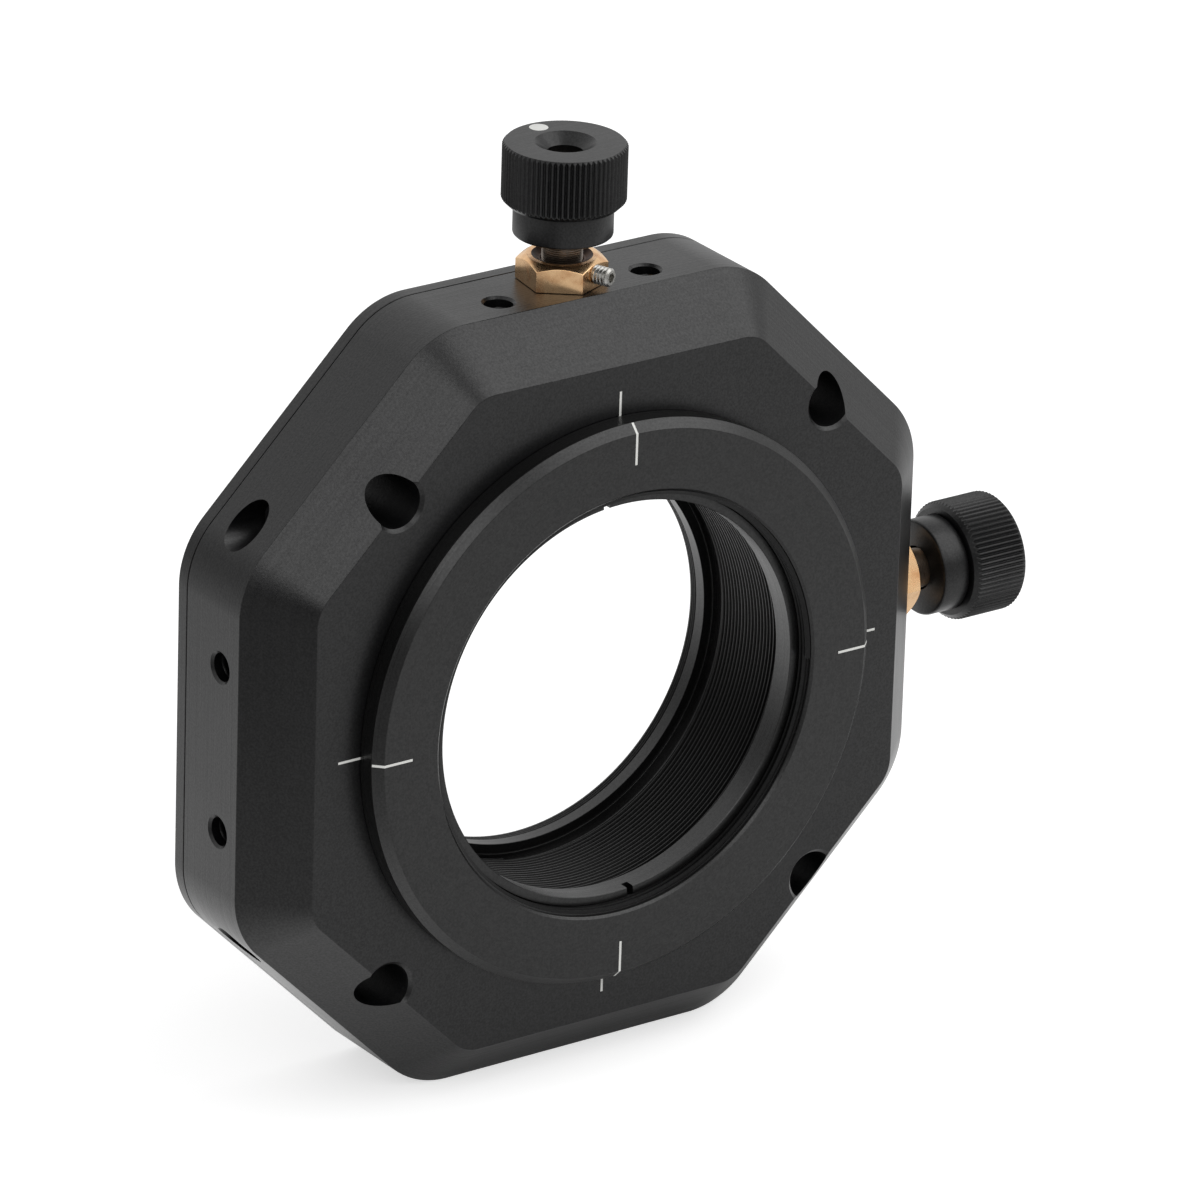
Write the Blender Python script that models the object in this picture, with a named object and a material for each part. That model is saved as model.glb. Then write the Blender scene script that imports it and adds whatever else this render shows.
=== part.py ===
"""Two-axis translating mount for a 60 mm cage, with a threaded lens cell and two fine adjusters.

The optical axis runs along Y, the front faces -Y and +Z is up. The origin is on the bottom
flat, midway between its two tapped holes. Right is +X. Lengths are in metres.

A piece is modelled about its own axis and then placed: along the depth of the body for what
is concentric with the optical axis, and outwards from that axis for the adjusters.
"""

from math import cos, pi, radians, sin, sqrt, tan

import bmesh
import bpy
from mathutils import Matrix, Vector

# Body: an octagon with rounded corners and one wide chamfer round the front
RIM_THICKNESS = 0.009936
CORNER_RADIUS = 0.011
BODY_DEPTH = 0.01905
FRONT_CHAMFER = 0.00635
FRONT_WALL = 0.0052
COVER_THICKNESS = 0.0018
COVER_SCREW_ANGLE = 22.5

# Cage rods and the screws that hold them
CAGE_SPACING = 0.060
ROD_TO_DIAGONAL = 0.006174
ROD_DIAMETER = 0.006
ROD_COUNTERSINK = 0.0004
LOCK_HOLE_DIAMETER = 0.00508
LOCK_HOLE_DEPTH = 0.0118
LOCK_HOLE_OFFSET = 0.004
LOCK_SCREW_DIAMETER = 0.0034
LOCK_SCREW_LENGTH = 0.006

# Tapped holes, two in each of the four flats
TAPPED_SPACING = 0.02032
TAPPED_ROW_DEPTH = 0.01016
TAPPED_DIAMETER = 0.0034
TAPPED_COUNTERSINK = 0.00035
TAPPED_LENGTH = 0.0075

# Lens cell: a threaded tube with a wide face in front of the body
CELL_THREAD_DIAMETER = 0.0517
CELL_WALL = 0.00345
CELL_FACE_OVERHANG = 0.00534
CELL_FACE_HEIGHT = 0.00348
CELL_RIM_CHAMFER = 0.00078
CELL_MOUTH_CHAMFER = 0.00035
CELL_SEAT_STEP = 0.001
CELL_SETBACK = 0.00025
LIP_WIDTH = 0.00155
LIP_THICKNESS = 0.0018
LIP_RECESS_DEPTH = 0.0014
LIP_RECESS_STEP = 0.0006

# Retaining ring in the mouth of the cell
RETAINING_RING_THICKNESS = 0.0029
RETAINING_RING_SETBACK = 0.00198
SPANNER_SLOT_WIDTH = 0.0016
SPANNER_SLOT_DEPTH = 0.001
SPANNER_SLOT_ANGLE = 95.8

# Slides: a ring with crossed keys, and the ring that the adjusters push
TRAVEL = 0.001
SLIDE_THICKNESS = 0.0028
KEY_WIDTH = 0.004
KEY_LENGTH = 0.0038
KEY_HEIGHT = 0.0015
DRIVE_RING_WIDTH = 0.0068
CELL_SCREW_DIAMETER = 0.003
GLIDE_THICKNESS = 0.00055

# Adjusters: the same on the right and at the top
SCREW_DIAMETER = 0.00476
BALL_POCKET_RIM = 0.00028
BALL_POCKET_DEPTH = 0.0013
PAD_TO_KEY = 0.00055
PAD_THICKNESS = 0.0012
PAD_STAND_OUT = 0.0003
FLAT_CUT = 0.0008
BUSHING_BARREL_DIAMETER = 0.007
HEX_ACROSS_FLATS = 0.0092
HEX_HEIGHT = 0.0032
HEX_TOP_RATIO = 0.9
HEX_BEVEL_ANGLE = 32.0
CLAMP_FLAT_ANGLE = {"z": -157.6, "x": -87.0}
BUSHING_SCREW_WALL = 0.00015
BUSHING_SCREW_STAND_OUT = 0.0021
KNOB_CLEARANCE = 0.00255
KNOB_DIAMETER = 0.0144
KNOB_HEIGHT = 0.01105
KNURL_HEIGHT = 0.00735
SHOULDER_DIAMETER = 0.01158
SHOULDER_BEVEL = 0.0003
GROOVE_WIDTH = 0.0004
GROOVE_DEPTH = 0.0006
KNOB_EDGE = 0.0003
KNURL_BEVEL = 0.0007
KNOB_RECESS_DIAMETER = 0.0071
KNOB_RECESS_DEPTH = 0.0012
KNOB_BORE_DIAMETER = 0.0042
SCREW_END_DEPTH = 0.0025
SCREW_SOCKET = 0.002

# Return side: a plunger and a coil spring opposite each adjuster
PLUNGER_DIAMETER = 0.0044
PLUNGER_HEAD = 0.0034
PLUNGER_STEM_DIAMETER = 0.0018
PLUNGER_STEM = 0.0025
POCKET_FLOOR = 0.0025
SPRING_DIAMETER = 0.0037
SPRING_WIRE = 0.0005
SPRING_TURNS = 6

# Cover screws
COVER_SCREW_DIAMETER = 0.0025
COVER_SCREW_HEAD = 0.0044
COVER_SCREW_LENGTH = 0.0055
COVER_SCREW_SOCKET = 0.0015

# Clearances: pieces that rest on each other, and small screws in their holes
GAP = 0.0003
SCREW_GAP = 0.0002

# Facets
ROUND = 64
SMALL_ROUND = 24
TINY_ROUND = 12
KNOB_ROUND = 36
HEX_ROUND = 36
BALL_ROUND = 14
BALL_STEPS = 6
COIL_STEPS = 10
WIRE_SIDES = 5
CORNER_STEPS = 5

# How far a cutter passes the surface that it opens
OVERRUN = 0.001

# Radii round the optical axis
thread_radius = CELL_THREAD_DIAMETER / 2
neck_radius = thread_radius + CELL_WALL
seat_radius = neck_radius - CELL_SEAT_STEP
face_radius = neck_radius + CELL_FACE_OVERHANG
clear_radius = thread_radius - LIP_WIDTH
diagonal_travel = sqrt(2) * TRAVEL
window_radius = neck_radius + diagonal_travel + GAP
ring_inner = seat_radius + GAP
ring_outer = ring_inner + DRIVE_RING_WIDTH
cavity_radius = ring_outer + diagonal_travel + GAP
slide_outer = cavity_radius - TRAVEL - GAP
key_outer = slide_outer - GAP
cover_window = seat_radius + diagonal_travel + GAP

# Outline: the flats lie outside the cavity's rim and the diagonal sides outside the cage rods
cage = CAGE_SPACING / 2
rod_radius = ROD_DIAMETER / 2
lock_screw_foot = rod_radius + GAP
axis_to_flat = cavity_radius + RIM_THICKNESS
axis_to_diagonal = sqrt(2) * cage + ROD_TO_DIAGONAL

# Depths behind the front face of the body
slide_front = FRONT_WALL + GAP
slide_rear = slide_front + SLIDE_THICKNESS
ring_front = slide_rear + GAP
cover_front = BODY_DEPTH - COVER_THICKNESS
shell_end = cover_front - GAP
glide_rear = cover_front - GAP
glide_front = glide_rear - GLIDE_THICKNESS
ring_rear = glide_front - GAP
cell_rear = BODY_DEPTH - CELL_SETBACK
adjuster_depth = (ring_front + ring_rear) / 2
key_rear = slide_rear + KEY_HEIGHT

# Radii round an adjuster's axis
screw_radius = SCREW_DIAMETER / 2
ball_pocket_radius = screw_radius - GAP - BALL_POCKET_RIM
ball_radius = ball_pocket_radius - GAP
pad_radius = adjuster_depth - key_rear - PAD_TO_KEY

# Distances out from the optical axis along an adjuster
flat_land = ring_outer - FLAT_CUT
pad_face = flat_land + PAD_STAND_OUT
ball_centre = pad_face + GAP + ball_radius
screw_tip = ball_centre + ball_radius + GAP - BALL_POCKET_DEPTH
hex_foot = axis_to_flat + GAP
hex_top = axis_to_flat + HEX_HEIGHT
bushing_screw_radius = (hex_top - hex_foot) / 2 - BUSHING_SCREW_WALL - SCREW_GAP
knob_foot = hex_top + KNOB_CLEARANCE
knob_top = knob_foot + KNOB_HEIGHT
screw_end = knob_top - SCREW_END_DEPTH
plunger_tip = flat_land + GAP
plunger_shoulder = plunger_tip + PLUNGER_HEAD
pocket_floor = axis_to_flat - POCKET_FLOOR

# Where the optical axis and the front face stand in the part's frame
axis_height = axis_to_flat
front_y = -TAPPED_ROW_DEPTH

CAGE_CORNERS = ((1, 1), (-1, 1), (-1, -1), (1, -1))
OUTWARD_ANGLE = {"x": 0.0, "z": 90.0}
RETURN_ANGLE = {"x": 180.0, "z": 270.0}


def clear_scene():
    for old in list(bpy.data.objects):
        bpy.data.objects.remove(old, do_unlink=True)


def finish(name, colour, roughness, metallic):
    """A material with one colour, roughness and metallic value."""
    material = bpy.data.materials.new(name)
    material.use_nodes = True
    shader = material.node_tree.nodes["Principled BSDF"]
    shader.inputs["Base Color"].default_value = (*colour, 1.0)
    shader.inputs["Roughness"].default_value = roughness
    shader.inputs["Metallic"].default_value = metallic
    return material


def circle(radius, height, count):
    """A loop of points round the local Z axis."""
    angles = [2 * pi * i / count for i in range(count)]
    return [Vector((radius * cos(a), radius * sin(a), height)) for a in angles]


def hexagon_radius(angle, across_flats):
    """How far out a hexagon lies at an angle; its first flat faces local X."""
    from_flat = (angle + pi / 6) % (pi / 3) - pi / 6
    return across_flats / 2 / cos(from_flat)


def hexagon(across_flats, height, count):
    """A hexagonal loop with as many points as the round loops that it meets."""
    loop = []
    for i in range(count):
        angle = 2 * pi * i / count
        reach = hexagon_radius(angle, across_flats)
        loop.append(Vector((reach * cos(angle), reach * sin(angle), height)))
    return loop


def loft(loops, closed=False):
    """A solid through loops of equal length, capped at both ends unless it closes on itself."""
    shape = bmesh.new()
    rings = [[shape.verts.new(point) for point in loop] for loop in loops]
    pairs = list(zip(rings, rings[1:]))
    if closed:
        pairs.append((rings[-1], rings[0]))
    else:
        shape.faces.new(rings[0])
        shape.faces.new(rings[-1])
    for lower, upper in pairs:
        for i in range(len(lower)):
            j = (i + 1) % len(lower)
            shape.faces.new((lower[i], lower[j], upper[j], upper[i]))
    bmesh.ops.recalc_face_normals(shape, faces=shape.faces)
    return shape


def turned(profile, count):
    """A ring turned from a closed profile of (radius, height) points clear of the axis."""
    return loft([circle(r, h, count) for r, h in profile], closed=True)


def rod(profile, count):
    """A solid of revolution: loops of (radius, height) points from one flat end to the other."""
    return loft([circle(r, h, count) for r, h in profile])


def box(size, centre):
    shape = bmesh.new()
    bmesh.ops.create_cube(shape, size=1.0)
    bmesh.ops.scale(shape, vec=size, verts=shape.verts)
    bmesh.ops.translate(shape, vec=centre, verts=shape.verts)
    return shape


def joined(shapes):
    """One mesh from several shapes that don't touch."""
    whole = bmesh.new()
    for shape in shapes:
        part = bpy.data.meshes.new("part")
        shape.to_mesh(part)
        shape.free()
        whole.from_mesh(part)
        bpy.data.meshes.remove(part)
    return whole


def moved(shape, matrix):
    bmesh.ops.transform(shape, matrix=matrix, verts=shape.verts)
    return shape


def frame_of(origin, along, across):
    """A placing whose local Z runs along one direction and whose local X runs across it."""
    z = along.normalized()
    x = across.normalized()
    y = z.cross(x)
    turn = Matrix((x, y, z)).transposed().to_4x4()
    return Matrix.Translation(origin) @ turn


def along_depth(x=0.0, up=0.0, depth=0.0):
    """Local Z runs backwards from a point given from the optical axis and the front face."""
    origin = Vector((x, front_y + depth, axis_height + up))
    return frame_of(origin, Vector((0, 1, 0)), Vector((1, 0, 0)))


def outward(angle, depth):
    """Local Z runs outwards from the optical axis; local X runs backwards."""
    origin = Vector((0, front_y + depth, axis_height))
    direction = Vector((cos(radians(angle)), 0, sin(radians(angle))))
    return frame_of(origin, direction, Vector((0, 1, 0)))


def add(name, shape, material, placing, body=None):
    """Makes the object of a sub-part, placed and hung on its body's empty."""
    mesh = bpy.data.meshes.new(name)
    shape.to_mesh(mesh)
    shape.free()
    mesh.materials.append(material)
    mesh.shade_smooth()
    mesh.set_sharp_from_angle(angle=radians(30))
    piece = bpy.data.objects.new(name, mesh)
    bpy.context.collection.objects.link(piece)
    piece.matrix_world = placing
    if body:
        piece.parent = body
        piece.matrix_parent_inverse = body.matrix_world.inverted()
    return piece


def cut(piece, name, shape, placing, operation="DIFFERENCE"):
    """Takes a shape out of a piece, or joins it on, with a Boolean modifier."""
    mesh = bpy.data.meshes.new(name)
    shape.to_mesh(mesh)
    shape.free()
    cutter = bpy.data.objects.new(name, mesh)
    bpy.context.collection.objects.link(cutter)
    cutter.matrix_world = placing
    cutter.hide_render = True
    cutter.display_type = "WIRE"
    modifier = piece.modifiers.new(name, "BOOLEAN")
    modifier.operation = operation
    modifier.object = cutter
    modifier.solver = "EXACT"


def body_empty(name, placing, parent=None):
    """The empty that carries one moving body, on its joint's axis."""
    empty = bpy.data.objects.new(name, None)
    empty.empty_display_size = CORNER_RADIUS
    bpy.context.collection.objects.link(empty)
    empty.matrix_world = placing
    if parent:
        empty.parent = parent
        empty.matrix_parent_inverse = parent.matrix_world.inverted()
    bpy.context.view_layer.update()
    return empty


def octagon(inset, depth):
    """The body's outline, moved in by `inset`, with an arc at each of its eight corners."""
    loop = []
    for corner in range(8):
        first = corner * pi / 4
        second = first + pi / 4
        near, far = axis_to_flat, axis_to_diagonal
        if corner % 2:
            near, far = far, near
        # The arc's centre is where the two sides meet once both are moved in by the radius
        a = near - CORNER_RADIUS
        b = far - CORNER_RADIUS
        side = (b - a * cos(pi / 4)) / sin(pi / 4)
        centre = Vector((a * cos(first) - side * sin(first), a * sin(first) + side * cos(first), depth))
        for step in range(CORNER_STEPS + 1):
            angle = first + (second - first) * step / CORNER_STEPS
            reach = CORNER_RADIUS - inset
            loop.append(centre + Vector((reach * cos(angle), reach * sin(angle), 0)))
    return loop


def drilled(radius, countersink, length):
    """A hole's cutter from just above a face at local z = 0 down to -length, countersunk."""
    mouth = radius + countersink + OVERRUN
    profile = [(radius, -length), (radius, -countersink), (mouth, OVERRUN)]
    return rod(profile, SMALL_ROUND)


def lock_screw_placing(side_x, side_z):
    """A rod's lock screw runs out along X, just inside the rod: local z = 0 is below the rod's axis."""
    height = axis_height + side_z * (cage - LOCK_HOLE_OFFSET)
    origin = Vector((side_x * cage, front_y + LOCK_HOLE_DEPTH, height))
    return frame_of(origin, Vector((side_x, 0, 0)), Vector((0, 1, 0)))


def cover_screw_places():
    """Four places round the rim, one beside each adjuster or spring."""
    reach = (cavity_radius + axis_to_flat) / 2
    angles = [radians(COVER_SCREW_ANGLE + 90 * i) for i in range(4)]
    return [(reach * cos(a), reach * sin(a)) for a in angles]


def rod_hole_cutters():
    """Cutters for the four cage rods, in the frame of the front face."""
    holes = []
    for side_x, side_z in CAGE_CORNERS:
        mouth = rod_radius + ROD_COUNTERSINK + OVERRUN
        profile = [(mouth, -OVERRUN), (rod_radius, ROD_COUNTERSINK), (rod_radius, BODY_DEPTH + OVERRUN)]
        place = Matrix.Translation((side_x * cage, -side_z * cage, 0))
        holes.append(moved(rod(profile, SMALL_ROUND), place))
    return joined(holes)


def make_housing(material):
    outline = [
        octagon(FRONT_CHAMFER, 0),
        octagon(0, FRONT_CHAMFER),
        octagon(0, shell_end),
    ]
    placing = along_depth()
    housing = add("housing", loft(outline), material, placing)
    window = rod([(window_radius, -OVERRUN), (window_radius, FRONT_WALL + OVERRUN)], ROUND)
    cut(housing, "window_cutter", window, placing)
    cavity = rod([(cavity_radius, FRONT_WALL), (cavity_radius, shell_end + OVERRUN)], ROUND)
    cut(housing, "cavity_cutter", cavity, placing)
    cut(housing, "rod_hole_cutter", rod_hole_cutters(), placing)

    slots = []
    slot_inner = window_radius - OVERRUN
    slot_outer = key_outer + TRAVEL + GAP
    slot_floor = slide_front - KEY_HEIGHT - GAP
    slot_size = (slot_outer - slot_inner, KEY_WIDTH + 2 * GAP, FRONT_WALL - slot_floor + OVERRUN)
    for side in (1, -1):
        middle = side * (slot_outer + slot_inner) / 2
        slots.append(box(slot_size, (middle, 0, slot_floor + slot_size[2] / 2)))
    cut(housing, "key_slot_cutter", joined(slots), placing)

    bore_radius = BUSHING_BARREL_DIAMETER / 2 + GAP
    bores = []
    for angle in OUTWARD_ANGLE.values():
        profile = [(bore_radius, cavity_radius - OVERRUN), (bore_radius, axis_to_flat + OVERRUN)]
        bores.append(moved(rod(profile, SMALL_ROUND), outward(angle, adjuster_depth)))
    cut(housing, "bushing_bore_cutter", joined(bores), Matrix())

    pocket_radius = PLUNGER_DIAMETER / 2 + GAP
    pockets = []
    for angle in RETURN_ANGLE.values():
        profile = [(pocket_radius, cavity_radius - OVERRUN), (pocket_radius, pocket_floor)]
        pockets.append(moved(rod(profile, SMALL_ROUND), outward(angle, adjuster_depth)))
    cut(housing, "spring_pocket_cutter", joined(pockets), Matrix())

    holes = []
    for angle in (0, 90, 180, 270):
        for side in (1, -1):
            on_flat = Matrix.Translation((0, side * TAPPED_SPACING / 2, axis_to_flat))
            hole = drilled(TAPPED_DIAMETER / 2, TAPPED_COUNTERSINK, TAPPED_LENGTH)
            holes.append(moved(hole, outward(angle, TAPPED_ROW_DEPTH) @ on_flat))
    cut(housing, "tapped_hole_cutter", joined(holes), Matrix())

    holes = []
    screw_room = LOCK_SCREW_DIAMETER / 2 + GAP
    step = lock_screw_foot + LOCK_SCREW_LENGTH + GAP
    outside = axis_to_flat - cage + OVERRUN
    mouth = LOCK_HOLE_DIAMETER / 2
    in_rod_hole = rod_radius - 2 * OVERRUN
    profile = [(screw_room, in_rod_hole), (screw_room, step), (mouth, step), (mouth, outside)]
    for side_x, side_z in CAGE_CORNERS:
        holes.append(moved(rod(profile, SMALL_ROUND), lock_screw_placing(side_x, side_z)))
    cut(housing, "lock_screw_cutter", joined(holes), Matrix())

    holes = []
    for x, up in cover_screw_places():
        radius = COVER_SCREW_DIAMETER / 2 + SCREW_GAP
        bottom = BODY_DEPTH - COVER_SCREW_LENGTH - GAP
        hole = rod([(radius, bottom), (radius, shell_end + OVERRUN)], TINY_ROUND)
        holes.append(moved(hole, Matrix.Translation((x, -up, 0))))
    cut(housing, "cover_thread_cutter", joined(holes), placing)
    return housing


def make_rear_cover(material):
    placing = along_depth()
    cover = add("rear_cover", loft([octagon(0, cover_front), octagon(0, BODY_DEPTH)]), material, placing)
    window = rod([(cover_window, cover_front - OVERRUN), (cover_window, BODY_DEPTH + OVERRUN)], ROUND)
    cut(cover, "cover_window_cutter", window, placing)
    cut(cover, "cover_rod_hole_cutter", rod_hole_cutters(), placing)
    holes = []
    for x, up in cover_screw_places():
        hole = rod(cover_screw_profile(SCREW_GAP, OVERRUN), SMALL_ROUND)
        holes.append(moved(hole, Matrix.Translation((x, -up, 0))))
    cut(cover, "cover_screw_cutter", joined(holes), placing)
    return cover


def cover_screw_profile(clearance, overrun):
    """A countersunk screw's outline from its point to its head, widened for the hole's cutter."""
    shank = COVER_SCREW_DIAMETER / 2 + clearance
    head = COVER_SCREW_HEAD / 2 + clearance
    point = BODY_DEPTH - COVER_SCREW_LENGTH
    neck = BODY_DEPTH - (head - shank)
    return [(shank, point), (shank, neck), (head, BODY_DEPTH), (head, BODY_DEPTH + overrun)]


def make_cover_screws(material):
    for number, (x, up) in enumerate(cover_screw_places(), 1):
        loops = [circle(r, h - GAP / 3, SMALL_ROUND) for r, h in cover_screw_profile(0, 0)[:3]]
        loops.append(hexagon(COVER_SCREW_SOCKET, BODY_DEPTH - GAP / 3, SMALL_ROUND))
        loops.append(hexagon(COVER_SCREW_SOCKET, BODY_DEPTH - COVER_SCREW_SOCKET, SMALL_ROUND))
        add(f"cover_screw_{number}", loft(loops), material, along_depth(x, up))


def set_screw(diameter, foot, head, count):
    """A headless screw with a hexagon socket, from its foot out to its head."""
    radius = diameter / 2
    edge = radius / 5
    loops = [
        circle(radius - edge, foot, count),
        circle(radius, foot + edge, count),
        circle(radius, head - edge, count),
        circle(radius - edge, head, count),
        hexagon(radius, head, count),
        hexagon(radius, head - diameter / 2, count),
    ]
    return loft(loops)


def make_lock_screws(material):
    for number, (side_x, side_z) in enumerate(CAGE_CORNERS, 1):
        head = lock_screw_foot + LOCK_SCREW_LENGTH
        shape = set_screw(LOCK_SCREW_DIAMETER, lock_screw_foot, head, TINY_ROUND)
        add(f"rod_lock_screw_{number}", shape, material, lock_screw_placing(side_x, side_z))


def make_glide_ring(material):
    inner = window_radius + GAP
    outer = cavity_radius - GAP
    profile = [(inner, glide_front), (outer, glide_front), (outer, glide_rear), (inner, glide_rear)]
    add("glide_ring", turned(profile, ROUND), material, along_depth())


def make_cross_slide(material, body):
    placing = along_depth()
    profile = [
        (window_radius, slide_front),
        (slide_outer, slide_front),
        (slide_outer, slide_rear),
        (window_radius, slide_rear),
    ]
    slide = add("cross_slide", turned(profile, ROUND), material, placing, body)
    key_size = KEY_HEIGHT + SLIDE_THICKNESS / 2
    front_keys = []
    rear_keys = []
    for side in (1, -1):
        middle = side * (key_outer - KEY_LENGTH / 2)
        front = slide_front - KEY_HEIGHT + key_size / 2
        rear = slide_rear + KEY_HEIGHT - key_size / 2
        front_keys.append(box((KEY_LENGTH, KEY_WIDTH, key_size), (middle, 0, front)))
        rear_keys.append(box((KEY_WIDTH, KEY_LENGTH, key_size), (0, middle, rear)))
    cut(slide, "front_keys", joined(front_keys), placing, "UNION")
    cut(slide, "rear_keys", joined(rear_keys), placing, "UNION")
    return slide


def make_lens_cell(material, body):
    face = -CELL_FACE_HEIGHT
    lip_front = cell_rear - LIP_RECESS_DEPTH - LIP_THICKNESS
    lip_rear = cell_rear - LIP_RECESS_DEPTH
    recess = clear_radius + LIP_RECESS_STEP
    profile = [
        (thread_radius + CELL_MOUTH_CHAMFER, face),
        (face_radius - CELL_RIM_CHAMFER, face),
        (face_radius, face + CELL_RIM_CHAMFER),
        (face_radius, -GAP),
        (neck_radius, -GAP),
        (neck_radius, slide_rear),
        (seat_radius, slide_rear),
        (seat_radius, cell_rear),
        (recess, cell_rear),
        (recess, lip_rear),
        (clear_radius, lip_rear),
        (clear_radius, lip_front),
        (thread_radius, lip_front),
        (thread_radius, face + CELL_MOUTH_CHAMFER),
    ]
    add("lens_cell", turned(profile, ROUND), material, along_depth(), body)


def make_retaining_ring(material, body):
    front = RETAINING_RING_SETBACK - CELL_FACE_HEIGHT
    rear = front + RETAINING_RING_THICKNESS
    outer = thread_radius - GAP
    profile = [(clear_radius, front), (outer, front), (outer, rear), (clear_radius, rear)]
    placing = along_depth()
    ring = add("retaining_ring", turned(profile, ROUND), material, placing, body)
    length = 2 * (outer + OVERRUN)
    slot = box((length, SPANNER_SLOT_WIDTH, 2 * SPANNER_SLOT_DEPTH), (0, 0, front))
    turn = Matrix.Rotation(-radians(SPANNER_SLOT_ANGLE), 4, "Z")
    cut(ring, "spanner_slot_cutter", slot, placing @ turn)


def make_drive_ring(material, body):
    """The ring behind the cross slide, fixed on the cell, which the adjusters push."""
    placing = along_depth()
    profile = [
        (ring_inner, ring_front),
        (ring_outer, ring_front),
        (ring_outer, ring_rear),
        (ring_inner, ring_rear),
    ]
    ring = add("drive_ring", turned(profile, ROUND), material, placing, body)

    slots = []
    slot_inner = ring_inner - OVERRUN
    slot_outer = ring_outer + OVERRUN
    slot_floor = key_rear + GAP
    slot_size = (KEY_WIDTH + 2 * GAP, slot_outer - slot_inner, slot_floor - ring_front + OVERRUN)
    for side in (1, -1):
        middle = side * (slot_outer + slot_inner) / 2
        slots.append(box(slot_size, (0, middle, slot_floor - slot_size[2] / 2)))
    cut(ring, "drive_slot_cutter", joined(slots), placing)

    lands = []
    width = 2 * sqrt(ring_outer**2 - flat_land**2) + OVERRUN
    for angle in list(OUTWARD_ANGLE.values()) + list(RETURN_ANGLE.values()):
        size = (2 * (ring_rear - ring_front), width, 2 * FLAT_CUT)
        lands.append(moved(box(size, (0, 0, flat_land + FLAT_CUT)), outward(angle, adjuster_depth)))
    cut(ring, "flat_land_cutter", joined(lands), Matrix())

    seats = []
    for angle in OUTWARD_ANGLE.values():
        radius = pad_radius + SCREW_GAP
        floor = pad_face - PAD_THICKNESS - GAP
        seat = rod([(radius, floor), (radius, ring_outer + OVERRUN)], SMALL_ROUND)
        seats.append(moved(seat, outward(angle, adjuster_depth)))
    cut(ring, "pad_seat_cutter", joined(seats), Matrix())

    holes = []
    for number in range(4):
        radius = CELL_SCREW_DIAMETER / 2 + SCREW_GAP
        hole = rod([(radius, ring_inner - OVERRUN), (radius, ring_outer + OVERRUN)], TINY_ROUND)
        holes.append(moved(hole, outward(45 + 90 * number, adjuster_depth)))
    cut(ring, "cell_screw_cutter", joined(holes), Matrix())
    return ring


def make_cell_screws(material, body):
    for number in range(4):
        shape = set_screw(CELL_SCREW_DIAMETER, ring_inner, ring_outer - GAP, TINY_ROUND)
        add(f"cell_screw_{number + 1}", shape, material, outward(45 + 90 * number, adjuster_depth), body)


def make_contact_pad(axis, material, body):
    shape = rod([(pad_radius, pad_face - PAD_THICKNESS), (pad_radius, pad_face)], SMALL_ROUND)
    add(f"{axis}_contact_pad", shape, material, outward(OUTWARD_ANGLE[axis], adjuster_depth), body)


def make_thrust_ball(axis, material, body):
    profile = []
    for step in range(BALL_STEPS + 1):
        # The poles stay small flats, so that every loop has the same number of points
        angle = -pi / 2 + pi * (step + 0.15) / (BALL_STEPS + 0.3)
        profile.append((ball_radius * cos(angle), ball_centre + ball_radius * sin(angle)))
    placing = outward(OUTWARD_ANGLE[axis], adjuster_depth)
    add(f"{axis}_thrust_ball", rod(profile, BALL_ROUND), material, placing, body)


def make_bushing(axis, material):
    """A hexagon head with a bevelled top on a barrel that goes into the body."""
    bore = screw_radius + GAP
    barrel = BUSHING_BARREL_DIAMETER / 2
    foot = cavity_radius + GAP
    count = HEX_ROUND
    top_radius = HEX_TOP_RATIO * HEX_ACROSS_FLATS / 2
    bevelled = []
    for point in hexagon(HEX_ACROSS_FLATS, hex_top, count):
        reach = point.xy.length
        drop = (reach - top_radius) * tan(radians(HEX_BEVEL_ANGLE))
        bevelled.append(Vector((point.x, point.y, hex_top - drop)))
    loops = [
        circle(bore, foot, count),
        circle(barrel, foot, count),
        circle(barrel, hex_foot, count),
        hexagon(HEX_ACROSS_FLATS, hex_foot, count),
        bevelled,
        circle(top_radius, hex_top, count),
        circle(bore, hex_top, count),
    ]
    placing = bushing_placing(axis)
    bushing = add(f"{axis}_bushing", loft(loops, closed=True), material, placing)
    screw_room = bushing_screw_radius + SCREW_GAP
    hole = rod([(screw_room, 0), (screw_room, HEX_ACROSS_FLATS)], TINY_ROUND)
    cut(bushing, f"{axis}_bushing_screw_cutter", hole, bushing_screw_placing(axis))


def bushing_placing(axis):
    """The bushing's frame, turned so that its local X passes through the flat with the clamp screw."""
    turn = Matrix.Rotation(radians(CLAMP_FLAT_ANGLE[axis]), 4, "Z")
    return outward(OUTWARD_ANGLE[axis], adjuster_depth) @ turn


def bushing_screw_placing(axis):
    """The clamp screw's frame: it runs out through the middle of one flat of the hexagon."""
    height = (hex_foot + hex_top) / 2
    return bushing_placing(axis) @ frame_of(Vector((0, 0, height)), Vector((1, 0, 0)), Vector((0, 0, 1)))


def make_bushing_screw(axis, material):
    foot = screw_radius + 2 * GAP
    head = HEX_ACROSS_FLATS / 2 + BUSHING_SCREW_STAND_OUT
    shape = set_screw(2 * bushing_screw_radius, foot, head, TINY_ROUND)
    add(f"{axis}_bushing_screw", shape, material, bushing_screw_placing(axis))


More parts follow.
